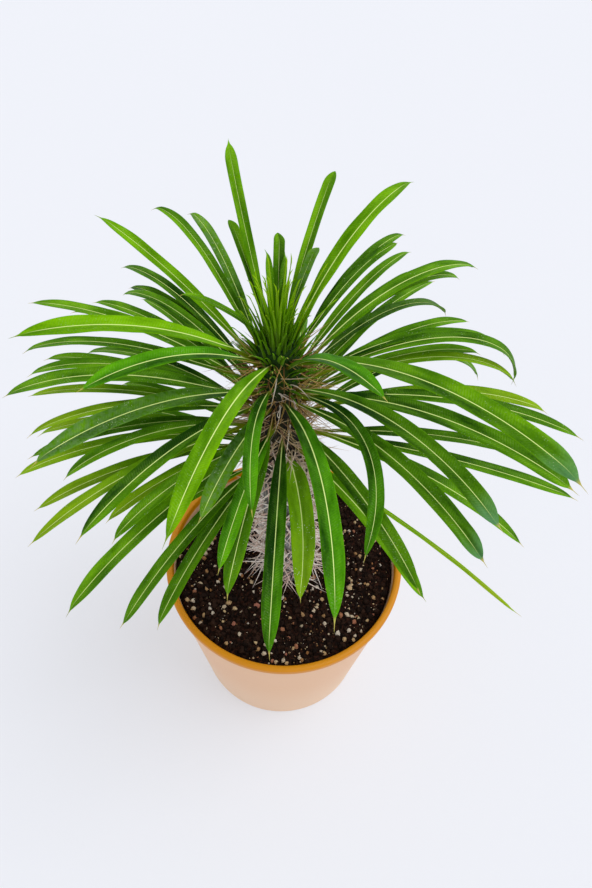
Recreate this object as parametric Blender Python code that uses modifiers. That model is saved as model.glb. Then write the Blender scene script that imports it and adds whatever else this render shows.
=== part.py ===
# Potted Madagascar palm: a spiny, leaning trunk with a crown of strap-shaped leaves,
# standing in a round plastic pot of gritty soil. Metres, +Z up, origin at the centre of
# the pot's base. Azimuth 0 is +X, 90 is +Y, 270 is the side that faces the viewer.
import math
import random
from collections import namedtuple

import bmesh
import bpy
import numpy as np
from mathutils import Matrix, Vector

MM = 0.001
GAP = 0.3 * MM

POT_RIM_RADIUS = 85 * MM
POT_RIM_WIDTH = 4.6 * MM
POT_HEIGHT = 150 * MM
POT_LIP_HEIGHT = 6 * MM
POT_LIP_STEP = 2.1 * MM
POT_BASE_RADIUS = 66 * MM
POT_WALL = 3.3 * MM
POT_FLOOR = 4 * MM
POT_SIDES = 44
DRAIN_RADIUS = 4 * MM
DRAIN_CIRCLE = 40 * MM
DRAIN_COUNT = 4

SOIL_LEVEL = 140 * MM
SOIL_RELIEF = 1.1 * MM
SOIL_RINGS = 8
SOIL_SIDES = 40

TRUNK_TOP = 364 * MM
TRUNK_FOOT = 80 * MM
TRUNK_RADIUS_SOIL = 17 * MM
TRUNK_RADIUS_TOP = 10 * MM
TRUNK_SIDES = 20
TRUNK_RINGS = 34
LEAN_X_SOIL = 4 * MM
LEAN_X_TOP = -8 * MM
LEAN_Y = 2 * MM
LEAN_TOP_HEIGHT = 362 * MM
STEM_HOLE_RADIUS = 20.5 * MM
STEM_HOLE_FLOOR = 79.5 * MM

GOLDEN_ANGLE = 137.508
BUMP_RISE = 2.75 * MM
BUMP_COUNT = 78
BUMP_HEIGHT = 1.3 * MM
BUMP_SPREAD = 5 * MM
SPINE_RADIUS = 0.7 * MM
SPINE_SINK = 2.2 * MM
SPINE_CLEAR = 0.9 * MM
SPINE_SHARES = (1, 0.7, 0.45)
SPINE_CLUSTER = ((-42, 1.0), (42, 0.92), (0, 0.62))
SPINE_LENGTH_SOIL = 25 * MM
SPINE_LENGTH_TOP = 19 * MM
SPINE_LIFT_SOIL = 8
SPINE_LIFT_TOP = 30
SPINE_SEED = 11

CROWN_RADIUS = 11 * MM
CROWN_HEIGHT = 7 * MM
YOUNG_LEAVES = 40
YOUNG_SHARES = (1, 0.75, 0.5)
YOUNG_CLEAR = 2.2 * MM

FOOT_KNOB = 2.2 * MM
LEAF_STATIONS = (0, 0.08, 0.2, 0.34, 0.48, 0.61, 0.73, 0.84, 0.93, 0.98)
LEAF_WIDTHS = (0.2, 0.25, 0.6, 0.84, 0.95, 1, 1, 0.97, 0.76, 0.24)
LEAF_THICKNESS = (2.0, 1.8, 1.5, 1.4, 1.4, 1.3, 1.3, 1.2, 1.0, 0.8)
YOUNG_STATIONS = (0, 3, 6, 8)
LEAF_CHANNEL = 0.08
LEAF_FOOT_WIDTH = 2.4 * MM
YOUNG_WIDTH = 3.2
YOUNG_LENGTH = 46
YOUNG_RISE = 86
YOUNG_SPREAD = 36
YOUNG_DROOP = 12
LONG_YOUNG = 75 * MM

Leaf = namedtuple("Leaf", "azimuth rise droop length width curl sweep roll")


def leaf(azimuth, rise, droop, length, width, curl=1.4, sweep=0, roll=0):
    return Leaf(azimuth, rise, droop, length * MM, width * MM, curl, sweep, roll)


# Each foot is its azimuth and height on the trunk in degrees and millimetres, with the
# leaf or leaves that grow from it. A leaf leaves the trunk at `rise` degrees
# above level and bends down by `droop` degrees along its length.
FEET = (
    (134, 350, (leaf(142, 52, 88, 98, 5.2, 4), leaf(124, 46, 75, 92, 5.5, 3))),
    (148, 345, (leaf(149, 38, 24, 111, 6.3),)),
    (138, 322, (leaf(137, 26, 62, 134, 6), leaf(139, 21, 58, 122, 6))),
    (147, 318, (leaf(143, 35, 80, 120, 6), leaf(151, 25, 50, 122, 6))),
    (143, 302, (leaf(135, 21, 45, 120, 6), leaf(153, 10, 50, 140, 6))),
    (52, 360, (leaf(50, 58, 67, 109, 8),)),
    (54, 346, (leaf(53, 42, 68, 106, 6), leaf(50, 45, 65, 94, 5.5))),
    (53, 335, (leaf(53, 30, 50, 112, 6),)),
    (33, 342, (leaf(32, 45, 80, 123, 8), leaf(35, 36, 80, 118, 6))),
    (50, 318, (leaf(53, 25, 40, 115, 6), leaf(47, 24, 45, 122, 6))),
    (60, 300, (leaf(60, 10, 45, 135, 6),)),
    (35, 335, (leaf(35, 37, 97, 118, 6),)),
    (22, 325, (leaf(28, 30, 62, 112, 6), leaf(17, 27, 55, 107, 6))),
    (13, 337, (leaf(11, 31, 122, 145, 6, 2), leaf(15, 36, 92, 130, 6))),
    (13, 322, (leaf(8, 41, 96, 134, 6), leaf(19, 30, 98, 128, 6))),
    (38, 300, (leaf(38, 11, 50, 124, 6),)),
    (4, 316, (leaf(3, 23, 55, 140, 7), leaf(6, 17, 48, 140, 7))),
    (350, 328, (leaf(350, 27, 50, 150, 7),)),
    (318, 361, (leaf(317, 45, 62, 165, 9.5),)),
    (327, 336, (leaf(327, 38, 55, 155, 9),)),
    (0, 298, (leaf(355, -3, 20, 167, 7), leaf(6, 3, 29, 130, 7))),
    (335, 308, (leaf(335, 12, 50, 140, 8),)),
    (312, 344, (leaf(314, 42, 75, 142, 8.5),)),
    (311, 333, (leaf(312, 33, 65, 137, 8.8),)),
    (303, 340, (leaf(320, 38, 89, 122, 6.4, 1.4, -76),)),
    (302, 318, (leaf(302, 22, 55, 121, 8),)),
    (312, 295, (leaf(312, 8, 48, 114, 8),)),
    (331, 280, (leaf(331, -6, 26, 157, 5.5, roll=90),)),
    (303, 361, (leaf(303, 56, 50, 94, 8.2),)),
    (285, 336, (leaf(288, 38, 56, 152, 9, 1.4, -17),)),
    (290, 290, (leaf(286, 8, 46, 87, 12, 1.4, -22),)),
    (277, 308, (leaf(270, 16, 50, 127, 9),)),
    (260, 320, (leaf(262, 18, 52, 107, 9), leaf(257, 22, 52, 96, 7))),
    (256, 345, (leaf(260, 40, 60, 98, 6, 1.4, 20),)),
    (252, 361, (leaf(255.5, 38, 57, 133, 8.5),)),
    (250, 330, (leaf(249.5, 28, 55, 84, 8),)),
    (236, 288, (leaf(239, 2, 46, 115, 7.8), leaf(233, 5, 46, 125, 7.8))),
    (225, 300, (leaf(226, 8, 48, 141, 8), leaf(224, 25, 60, 105, 7))),
    (211, 275, (leaf(211, 0, 44, 99, 6),)),
    (208, 295, (leaf(214, 14, 48, 98, 7), leaf(202, 15, 48, 132, 7))),
    (209, 311, (leaf(214, 14, 50, 140, 7), leaf(204, 26, 70, 115, 7))),
    (233, 332, (leaf(233, 32, 55, 130, 7.2),)),
    (186, 295, (leaf(191, 12, 48, 145, 7), leaf(180, 14, 48, 134, 6))),
    (217, 337, (leaf(217, 36, 55, 128, 9.5),)),
    (197, 318, (leaf(196, 28, 70, 112, 7), leaf(193, 24, 60, 127, 6))),
    (195, 308, (leaf(195, 20, 50, 129, 6),)),
    (159, 272, (leaf(162, -3, 40, 122, 6), leaf(155, 1, 42, 116, 6))),
    (170, 306, (leaf(173, 11, 42, 143, 6), leaf(166, 21, 48, 135, 6))),
    (181, 322, (leaf(184, 30, 64, 138, 9), leaf(175, 24, 60, 134, 6))),
    (224, 360, (leaf(217, 46, 58, 102, 8.5),)),
    (165, 331, (leaf(171, 20.5, 57, 141, 6), leaf(164, 25, 44, 138, 7))),
    (200, 359, (leaf(202, 47, 51, 120, 9),)),
    (157, 315, (leaf(157, 32, 61, 130, 6),)),
    (158, 285, (leaf(158, 16, 44, 100, 5.5),)),
    (78, 290, (leaf(67, 6, 44, 122, 6), leaf(87, 8, 50, 118, 6), leaf(76, -12, 34, 112, 6))),
    (108, 284, (leaf(100, 4, 44, 112, 6), leaf(119, 4, 44, 122, 6), leaf(110, -16, 32, 108, 6))),
)

# The upright leaves that stand in the growing tip.
CROWN_LEAVES = (
    leaf(127, 71, 10, 93, 5),
    leaf(126, 69, 20, 62, 4.5),
    leaf(105, 75, 10, 56, 3.5),
    leaf(95, 74, 25, 56, 4.5),
    leaf(84, 74, 15, 50, 3.5),
    leaf(60, 72, 20, 53, 4.5),
    leaf(66, 63, 20, 80, 5),
    leaf(170, 48, 50, 50, 3.5),
)


def trunk_axis(z):
    t = (z - SOIL_LEVEL) / (LEAN_TOP_HEIGHT - SOIL_LEVEL)
    return LEAN_X_SOIL + (LEAN_X_TOP - LEAN_X_SOIL) * t, LEAN_Y


def trunk_radius(z):
    t = np.clip((z - SOIL_LEVEL) / (LEAN_TOP_HEIGHT - SOIL_LEVEL), -0.6, 1)
    return TRUNK_RADIUS_SOIL + (TRUNK_RADIUS_TOP - TRUNK_RADIUS_SOIL) * np.abs(t)


def bump_centres():
    index = np.arange(BUMP_COUNT)
    return np.radians(index * GOLDEN_ANGLE), SOIL_LEVEL + 4 * MM + index * BUMP_RISE


def trunk_surface(angle, z):
    """Radius of the trunk with a low swelling round each cluster of spines."""
    angles, heights = bump_centres()
    turn = np.angle(np.exp(1j * (np.subtract.outer(angle, angles))))
    apart = np.hypot(turn * trunk_radius(z)[..., None], np.subtract.outer(z, heights))
    swell = np.exp(-((apart / BUMP_SPREAD) ** 2)).max(axis=-1)
    return trunk_radius(z) + BUMP_HEIGHT * swell


def trunk_reach(angle, z):
    """Radius of the faceted trunk, blended between the four corners round a point."""
    side = 2 * math.pi / TRUNK_SIDES
    ring = (TRUNK_TOP - TRUNK_FOOT) / (TRUNK_RINGS - 1)
    column, across = divmod(angle / side, 1)
    row, up = divmod((z - TRUNK_FOOT) / ring, 1)
    angles = (column + np.array([0, 1, 0, 1])) * side
    heights = TRUNK_FOOT + (row + np.array([0, 0, 1, 1])) * ring
    shares = np.outer((1 - up, up), (1 - across, across)).ravel()
    chord = math.cos(side / 2) / math.cos((across - 0.5) * side)
    return float(trunk_surface(angles, heights) @ shares) * chord


def foot_point(azimuth, height, clear):
    angle, z = math.radians(azimuth), height * MM
    reach = trunk_reach(angle, z) + clear
    x, y = trunk_axis(z)
    return np.array([x + reach * math.cos(angle), y + reach * math.sin(angle), z])


def leaf_frames(start, blade, shares):
    """Centre, side and upper directions of a leaf at the given shares of its length."""
    fine = np.linspace(0, 1, 81)
    lift = np.radians(blade.rise - blade.droop * fine**blade.curl)
    turn = np.radians(blade.azimuth + blade.sweep * fine**1.5)
    along = np.stack([np.cos(lift) * np.cos(turn), np.cos(lift) * np.sin(turn), np.sin(lift)], 1)
    steps = (along[1:] + along[:-1]) / 2 * blade.length / (len(fine) - 1)
    path = start + np.vstack([np.zeros(3), np.cumsum(steps, 0)])
    side = np.stack([-np.sin(turn), np.cos(turn), 0 * turn], 1)
    upper = np.cross(along, side)
    roll = math.radians(blade.roll) * np.clip(fine * 4, 0, 1)[:, None]
    side, upper = np.cos(roll) * side + np.sin(roll) * upper, np.cos(roll) * upper - np.sin(roll) * side
    return [np.stack([np.interp(shares, fine, row[:, k]) for k in range(3)], 1) for row in (path, side, upper)]


def leaf_mesh(name, start, blade, picked=range(len(LEAF_STATIONS))):
    picked = list(picked)
    shares = np.array(LEAF_STATIONS)[picked]
    centre, side, upper = leaf_frames(start, blade, np.append(shares, 1.0))
    half = blade.width / 2 * np.array(LEAF_WIDTHS)[picked]
    half[:2] = np.maximum(half[:2], LEAF_FOOT_WIDTH / 2)
    thick = np.array(LEAF_THICKNESS)[picked] * MM / 2
    raised = 2 * half * LEAF_CHANNEL
    rings = []
    for c, s, u, h, t, r in zip(centre, side, upper, half, thick, raised):
        rings.append((c - s * h + u * r, c - u * t, c + s * h + u * r, c + u * t))
    verts = [tuple(p) for ring in rings for p in ring] + [tuple(centre[-1])]
    tip, last = len(verts) - 1, len(rings) - 1
    faces = [(3, 2, 1, 0)]
    for i in range(last):
        for k in range(4):
            a, b = 4 * i + k, 4 * i + (k + 1) % 4
            faces.append((a, b, b + 4, a + 4))
    faces += [(4 * last + k, 4 * last + (k + 1) % 4, tip) for k in range(4)]
    mesh = bpy.data.meshes.new(name)
    mesh.from_pydata(verts, [], faces)
    bm = bmesh.new()
    bm.from_mesh(mesh)
    bmesh.ops.triangulate(bm, faces=bm.faces)
    bmesh.ops.recalc_face_normals(bm, faces=bm.faces)
    bm.to_mesh(mesh)
    bm.free()
    return mesh


def material(name, colour, roughness):
    mat = bpy.data.materials.new(name)
    mat.use_nodes = True
    shader = mat.node_tree.nodes["Principled BSDF"]
    shader.inputs["Base Color"].default_value = (*colour, 1)
    shader.inputs["Roughness"].default_value = roughness
    shader.inputs["Metallic"].default_value = 0
    return mat


def new_object(name, mesh, collection, mat=None):
    obj = bpy.data.objects.new(name, mesh)
    collection.objects.link(obj)
    if mat:
        mesh.materials.clear()
        mesh.materials.append(mat)
    return obj


def turned(name, profile, sides, collection, mat):
    """A closed profile, given as radius and height, turned round the Z axis."""
    mesh = bpy.data.meshes.new(name)
    mesh.from_pydata([(r, 0, z) for r, z in profile], [(i, i + 1) for i in range(len(profile) - 1)], [])
    obj = new_object(name, mesh, collection, mat)
    screw = obj.modifiers.new("turn", "SCREW")
    screw.steps = screw.render_steps = sides
    screw.use_merge_vertices = True
    screw.merge_threshold = 0.00001
    return obj


def apply_modifiers(obj):
    graph = bpy.context.evaluated_depsgraph_get()
    mesh = bpy.data.meshes.new_from_object(obj.evaluated_get(graph))
    obj.modifiers.clear()
    old, obj.data = obj.data, mesh
    bpy.data.meshes.remove(old)


def fuse(obj, pieces, solver="EXACT"):
    """Joins the pieces to the object in one body and removes them."""
    group = bpy.data.collections.new(obj.name + "_pieces")
    bpy.context.scene.collection.children.link(group)
    for piece in pieces:
        for home in piece.users_collection:
            home.objects.unlink(piece)
        group.objects.link(piece)
    join = obj.modifiers.new("fuse", "BOOLEAN")
    join.operation = "UNION"
    join.solver = solver
    join.operand_type = "COLLECTION"
    join.collection = group
    bpy.context.view_layer.update()
    apply_modifiers(obj)
    for piece in pieces:
        bpy.data.objects.remove(piece)
    bpy.data.collections.remove(group)


def make_pot(collection, cutters):
    inner = POT_RIM_RADIUS - POT_RIM_WIDTH
    under_lip = POT_RIM_RADIUS - POT_LIP_STEP
    soft = 0.8 * MM
    profile = (
        (0, POT_FLOOR),
        (POT_BASE_RADIUS - POT_WALL - 2 * MM, POT_FLOOR),
        (POT_BASE_RADIUS - POT_WALL, POT_FLOOR + 2 * MM),
        (inner - soft, POT_HEIGHT - 4 * MM),
        (inner, POT_HEIGHT - soft),
        (inner + soft, POT_HEIGHT),
        (POT_RIM_RADIUS - soft, POT_HEIGHT),
        (POT_RIM_RADIUS, POT_HEIGHT - soft),
        (POT_RIM_RADIUS, POT_HEIGHT - POT_LIP_HEIGHT + soft),
        (POT_RIM_RADIUS - soft, POT_HEIGHT - POT_LIP_HEIGHT),
        (under_lip, POT_HEIGHT - POT_LIP_HEIGHT),
        (POT_BASE_RADIUS + soft, 2 * MM),
        (POT_BASE_RADIUS - soft, 0),
        (0, 0),
    )
    terracotta = material("pot_plastic", (0.80, 0.55, 0.38), 0.45)
    pot = turned("pot", profile, POT_SIDES, collection, terracotta)
    for i in range(DRAIN_COUNT):
        angle = math.radians(45 + 360 / DRAIN_COUNT * i)
        place = Matrix.Translation((DRAIN_CIRCLE * math.cos(angle), DRAIN_CIRCLE * math.sin(angle), 0))
        mesh = bpy.data.meshes.new("drain")
        bm = bmesh.new()
        bmesh.ops.create_cone(bm, cap_ends=True, segments=12, radius1=DRAIN_RADIUS,
                              radius2=DRAIN_RADIUS, depth=4 * POT_FLOOR, matrix=place)
        bm.to_mesh(mesh)
        bm.free()
        cutter = new_object(f"drain_{i + 1}", mesh, cutters)
        cutter.hide_render = True
        cutter.display_type = "WIRE"
        cut = pot.modifiers.new(cutter.name, "BOOLEAN")
        cut.operation = "DIFFERENCE"
        cut.object = cutter
    return pot


def make_soil(collection):
    wall_foot = POT_BASE_RADIUS - POT_WALL
    wall_top = POT_RIM_RADIUS - POT_RIM_WIDTH - 0.8 * MM
    slope = (wall_top - wall_foot) / (POT_HEIGHT - 6 * MM - POT_FLOOR)
    at_level = wall_foot + slope * (SOIL_LEVEL - POT_FLOOR - 2 * MM) - GAP
    hole = STEM_HOLE_RADIUS
    top = [(hole + (at_level - hole) * i / SOIL_RINGS, SOIL_LEVEL) for i in range(SOIL_RINGS + 1)]
    profile = [(0, STEM_HOLE_FLOOR), (hole, STEM_HOLE_FLOOR)] + top
    profile += [(wall_foot - 1.3 * GAP, POT_FLOOR + 2.4 * MM), (wall_foot - 2.6 * MM, POT_FLOOR + GAP)]
    profile.append((0, POT_FLOOR + GAP))
    soil = turned("soil", profile, SOIL_SIDES, collection, material("soil", (0.035, 0.025, 0.02), 0.95))
    apply_modifiers(soil)
    draw = random.Random(5)
    for vertex in soil.data.vertices:
        x, y, z = vertex.co
        reach = math.hypot(x, y)
        if z > SOIL_LEVEL - MM and reach > hole + MM:
            wave = math.sin(90 * x + 2) * math.sin(80 * y + 1)
            edge = min(1, (at_level - reach) / (6 * MM))
            vertex.co.z += SOIL_RELIEF * (0.8 * wave + draw.uniform(-0.7, 0.7)) * edge
    centre = Vector((LEAN_X_SOIL, LEAN_Y, 0))
    for vertex in soil.data.vertices:
        reach = math.hypot(vertex.co.x, vertex.co.y)
        if vertex.co.z > STEM_HOLE_FLOOR - MM and reach < at_level - MM:
            vertex.co += centre * min(1, (at_level - reach) / (at_level - hole))
    return soil


def leaf_field(rows):
    """Centres, side and upper directions and half widths all along the given leaves."""
    shares = np.linspace(0, 1, 40)
    field = []
    for blade, start in rows:
        centre, side, upper = leaf_frames(start, blade, shares)
        half = np.maximum(blade.width / 2 * np.interp(shares, LEAF_STATIONS, LEAF_WIDTHS), LEAF_FOOT_WIDTH / 2)
        field.append(np.hstack([centre, side, upper, half[:, None]]))
    return np.vstack(field)


def trunk_leaves():
    for azimuth, height, blades in FEET:
        for blade in blades:
            yield blade, leaf_start(azimuth, height, blade, len(blades) > 1)


def leaf_start(azimuth, height, blade, shared):
    if shared:
        return foot_point(azimuth, height, GAP + FOOT_KNOB)
    half_thick = LEAF_THICKNESS[0] / 2 * MM
    return foot_point(azimuth, height, 1.4 * GAP + half_thick * abs(math.sin(math.radians(blade.rise))))


def crown_leaves():
    """The upright leaves, then young ones by the golden angle, each short of the leaves outside."""
    x, y = trunk_axis(TRUNK_TOP)
    foot = TRUNK_TOP + GAP + 3 * MM
    for blade in CROWN_LEAVES:
        angle = math.radians(blade.azimuth)
        yield blade, np.array([x + 5.2 * MM * math.cos(angle), y + 5.2 * MM * math.sin(angle), foot])
    field = leaf_field(trunk_leaves())
    draw = random.Random(3)
    for i in range(YOUNG_LEAVES):
        share = i / (YOUNG_LEAVES - 1)
        length = YOUNG_LENGTH + draw.uniform(-7, 7)
        rise = YOUNG_RISE - YOUNG_SPREAD * share**1.3 + draw.uniform(-5, 5)
        angle = math.radians(i * GOLDEN_ANGLE)
        out = (1 + 7 * share) * MM
        start = np.array([x + out * math.cos(angle), y + out * math.sin(angle), foot - MM * share])
        for fit in YOUNG_SHARES:
            blade = leaf(i * GOLDEN_ANGLE, rise, YOUNG_DROOP, length * fit, YOUNG_WIDTH)
            if not meets_leaf(leaf_frames(start, blade, np.linspace(0, 1, 14))[0], field, YOUNG_CLEAR):
                yield blade, start
                break


def meets_leaf(points, field, clear):
    apart = points[:, None, :] - field[None, :, 0:3]
    across = np.abs((apart * field[None, :, 3:6]).sum(-1))
    above = np.abs((apart * field[None, :, 6:9]).sum(-1))
    near = (apart**2).sum(-1) < (9 * MM) ** 2
    return bool((near & (across < field[:, 9] + clear) & (above < 1.2 * MM + clear)).any())


def spine_rows():
    """Root angle and height, turn, lift and length of each spine.

    A cluster has two spines that spread sideways and a shorter one between them.
    """
    draw = random.Random(SPINE_SEED)
    angles, heights = bump_centres()
    for angle, z in zip(angles, heights):
        grown = (z - SOIL_LEVEL) / (TRUNK_TOP - SOIL_LEVEL)
        if z > TRUNK_TOP - 5 * MM:
            continue
        whole = SPINE_LENGTH_SOIL + (SPINE_LENGTH_TOP - SPINE_LENGTH_SOIL) * grown
        level = SPINE_LIFT_SOIL + (SPINE_LIFT_TOP - SPINE_LIFT_SOIL) * grown
        for spread, share in SPINE_CLUSTER:
            length = whole * share * draw.uniform(0.8, 1.1)
            turn = angle + math.radians(spread + draw.uniform(-14, 14))
            lift = math.radians(level + draw.uniform(-22, 22))
            yield angle + math.radians(spread / 9), z, turn, lift, length


def make_trunk(collection):
    heights = np.linspace(TRUNK_FOOT, TRUNK_TOP, TRUNK_RINGS)
    profile = [(0, TRUNK_TOP)] + [(TRUNK_RADIUS_TOP, z) for z in heights[::-1]] + [(0, TRUNK_FOOT)]
    trunk = turned("trunk", profile, TRUNK_SIDES, collection, material("trunk_bark", (0.33, 0.28, 0.22), 0.85))
    apply_modifiers(trunk)
    for vertex in trunk.data.vertices:
        x, y, z = vertex.co
        z = min(max(z, TRUNK_FOOT), TRUNK_TOP)
        shift = trunk_axis(z)
        if math.hypot(x, y) > MM:
            angle = math.atan2(y, x)
            radius = trunk_surface(np.array([angle]), np.array([z]))[0]
            x, y = radius * math.cos(angle), radius * math.sin(angle)
        vertex.co = (x + shift[0], y + shift[1], z)
    fuse(trunk, make_spines(collection), "MANIFOLD")
    return trunk


def make_spines(collection):
    field = leaf_field(list(trunk_leaves()) + list(crown_leaves()))
    knobs = np.array([foot_point(a, h, GAP + FOOT_KNOB) for a, h, blades in FEET if len(blades) > 1])
    spines = []
    for angle, z, turn, lift, length in spine_rows():
        axis = trunk_axis(z)
        reach = float(trunk_surface(np.array([angle]), np.array([z]))[0]) - SPINE_SINK
        root = np.array([axis[0] + reach * math.cos(angle), axis[1] + reach * math.sin(angle), z])
        way = np.array([math.cos(lift) * math.cos(turn), math.cos(lift) * math.sin(turn), math.sin(lift)])
        for share in SPINE_SHARES:
            whole = length * share + SPINE_SINK
            points = root + way * np.linspace(SPINE_SINK, whole, 12)[:, None]
            if spine_is_clear(points, knobs, field):
                spines.append(make_needle(f"spine_{len(spines) + 1}", root, way, whole, collection))
                break
    return spines


def spine_is_clear(points, knobs, field):
    x, y = trunk_axis(TRUNK_TOP)
    under_crown = np.hypot(points[:, 0] - x, points[:, 1] - y) < CROWN_RADIUS + SPINE_CLEAR + GAP
    if points[:, 2].min() < SOIL_LEVEL + 3 * MM or (under_crown & (points[:, 2] > TRUNK_TOP - MM)).any():
        return False
    if np.linalg.norm(points[:, None] - knobs[None], axis=2).min() < FOOT_KNOB + SPINE_CLEAR:
        return False
    return not meets_leaf(points, field, SPINE_CLEAR)


def make_needle(name, root, way, length, collection):
    mesh = bpy.data.meshes.new(name)
    bm = bmesh.new()
    turn = Vector(way).to_track_quat("Z", "Y").to_matrix().to_4x4()
    place = Matrix.Translation(Vector(root) + Vector(way) * length / 2) @ turn
    bmesh.ops.create_cone(bm, cap_ends=True, segments=3, radius1=SPINE_RADIUS, radius2=0,
                          depth=length, matrix=place)
    bmesh.ops.remove_doubles(bm, verts=bm.verts, dist=0.00001)
    bm.to_mesh(mesh)
    bm.free()
    return new_object(name, mesh, collection)


def make_ball(name, centre, radius, collection):
    mesh = bpy.data.meshes.new(name)
    bm = bmesh.new()
    bmesh.ops.create_icosphere(bm, subdivisions=1, radius=radius, matrix=Matrix.Translation(Vector(centre)))
    bm.to_mesh(mesh)
    bm.free()
    return new_object(name, mesh, collection)


def make_leaves(collection):
    blade_green = material("leaf_green", (0.13, 0.30, 0.06), 0.4)
    for i, (azimuth, height, blades) in enumerate(FEET):
        name = f"leaf_{i + 1:02d}"
        starts = [leaf_start(azimuth, height, blade, len(blades) > 1) for blade in blades]
        shapes = [leaf_mesh(name, start, blade) for start, blade in zip(starts, blades)]
        node = new_object(name, shapes[0], collection, blade_green)
        if len(blades) > 1:
            others = [new_object(name, shape, collection) for shape in shapes[1:]]
            knob = make_ball(name + "_foot", starts[0], FOOT_KNOB, collection)
            fuse(node, [*others, knob])
        node.data.materials.clear()
        node.data.materials.append(blade_green)


def make_crown(collection):
    """The growing tip: a low dome with the young upright leaves fused into it."""
    x, y = trunk_axis(TRUNK_TOP)
    foot = TRUNK_TOP + GAP
    steps = 5
    dome = [(CROWN_RADIUS * math.cos(a), foot + CROWN_HEIGHT * (0.25 + 0.75 * math.sin(a)))
            for a in (math.pi / 2 * i / steps for i in range(steps))]
    profile = [(0, foot + CROWN_HEIGHT)] + dome[::-1] + [(CROWN_RADIUS - MM, foot), (0, foot)]
    crown = turned("crown", profile, 18, collection, material("young_leaf_green", (0.25, 0.42, 0.08), 0.4))
    apply_modifiers(crown)
    crown.data.transform(Matrix.Translation((x, y, 0)))
    pieces = []
    for i, (blade, start) in enumerate(crown_leaves()):
        picked = range(len(LEAF_STATIONS)) if blade.length > LONG_YOUNG else YOUNG_STATIONS
        pieces.append(new_object(f"young_{i + 1}", leaf_mesh("young", start, blade, picked), collection))
    fuse(crown, pieces, "MANIFOLD")
    return crown


def main():
    for obj in list(bpy.data.objects):
        bpy.data.objects.remove(obj, do_unlink=True)
    palm = bpy.data.collections.new("potted_madagascar_palm")
    cutters = bpy.data.collections.new("cutters")
    for collection in (palm, cutters):
        bpy.context.scene.collection.children.link(collection)
    make_pot(palm, cutters)
    make_soil(palm)
    make_trunk(palm)
    make_leaves(palm)
    make_crown(palm)


if __name__ == "__main__":
    main()
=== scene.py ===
"""Looks of the potted Madagascar palm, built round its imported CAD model.

Metres, +Z up, origin at the centre of the pot's base. Azimuth 0 is +X, 90 is +Y (away from the
viewer), 180 is -X and 270 is towards the viewer.
"""
from __future__ import annotations

import logging
import math
from collections.abc import Callable, Iterator
from dataclasses import dataclass
from enum import Enum

import bpy
import numpy as np
from mathutils import Matrix

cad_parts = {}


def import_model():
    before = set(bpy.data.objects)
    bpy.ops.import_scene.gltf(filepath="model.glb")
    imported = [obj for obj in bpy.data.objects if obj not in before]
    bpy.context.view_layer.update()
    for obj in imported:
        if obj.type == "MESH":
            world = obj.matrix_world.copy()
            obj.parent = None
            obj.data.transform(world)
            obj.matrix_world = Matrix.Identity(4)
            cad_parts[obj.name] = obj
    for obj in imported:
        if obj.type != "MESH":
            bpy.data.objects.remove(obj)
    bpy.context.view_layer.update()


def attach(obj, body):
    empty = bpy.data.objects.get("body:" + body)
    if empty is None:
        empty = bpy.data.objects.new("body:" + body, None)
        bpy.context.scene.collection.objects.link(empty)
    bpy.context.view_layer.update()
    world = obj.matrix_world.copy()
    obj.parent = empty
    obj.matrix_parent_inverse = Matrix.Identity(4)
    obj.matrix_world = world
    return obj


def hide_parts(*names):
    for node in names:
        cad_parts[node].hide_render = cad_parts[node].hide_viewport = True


LOG = logging.getLogger("potted_palm")
MM = 0.001
FULL_TURN = 2 * math.pi
GOLDEN_ANGLE = 137.508
LATTICE = 256
MAP_PER_METRE = 5.0
MAP_MM = 1000 / MAP_PER_METRE
Array = np.ndarray
Colour = tuple[float, float, float]
Material = bpy.types.Material
Socket = bpy.types.NodeSocket


def srgb(red: int, green: int, blue: int) -> Colour:
    """The linear colour that a shader takes, from channels between 0 and 255."""
    shares = (channel / 255 for channel in (red, green, blue))
    return tuple(s / 12.92 if s <= 0.04045 else ((s + 0.055) / 1.055) ** 2.4 for s in shares)


def smooth(low: float, high: float, x: Array) -> Array:
    """0 below low, 1 above high, and 3t^2 - 2t^3 between them."""
    t = np.clip((np.asarray(x, float) - low) / (high - low), 0, 1)
    return t * t * (3 - 2 * t)


def heading(turn: Array | float, lift: Array | float = 0.0) -> Array:
    """Unit vectors at a turn from +X and a lift above level, both in radians."""
    level = np.cos(lift)
    return np.stack([level * np.cos(turn), level * np.sin(turn), np.sin(lift) + 0 * turn], -1)


def turned(side: Array, upper: Array, angle: Array | float) -> tuple[Array, Array]:
    """Two directions at right angles, turned in their own plane by an angle in radians."""
    return np.cos(angle) * side + np.sin(angle) * upper, np.cos(angle) * upper - np.sin(angle) * side


def arc(middle: tuple[float, float], radii: tuple[float, float], start: float, end: float,
        count: int) -> Array:
    """Points on an upright ellipse from one angle to another, in radians."""
    angle = np.linspace(start, end, count)
    return np.array(middle) + np.array(radii) * np.stack([np.cos(angle), np.sin(angle)], 1)


def value_noise(x: Array, y: Array, cell: float, seed: int) -> Array:
    """Soft random relief: random heights on a square lattice, joined by smooth steps.

    Args:
        x: first coordinate.
        y: second coordinate.
        cell: side of a lattice square, in the same unit.
        seed: which lattice.

    Returns:
        Heights between -1 and 1.
    """
    lattice = np.random.default_rng(seed).uniform(-1, 1, (LATTICE, LATTICE))
    column, row = np.floor(x / cell).astype(int), np.floor(y / cell).astype(int)
    across, up = smooth(0, 1, x / cell - column), smooth(0, 1, y / cell - row)
    low, high = (lattice[column % LATTICE, line % LATTICE] * (1 - across)
                 + lattice[(column + 1) % LATTICE, line % LATTICE] * across for line in (row, row + 1))
    return low * (1 - up) + high * up


# Meshes.


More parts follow.
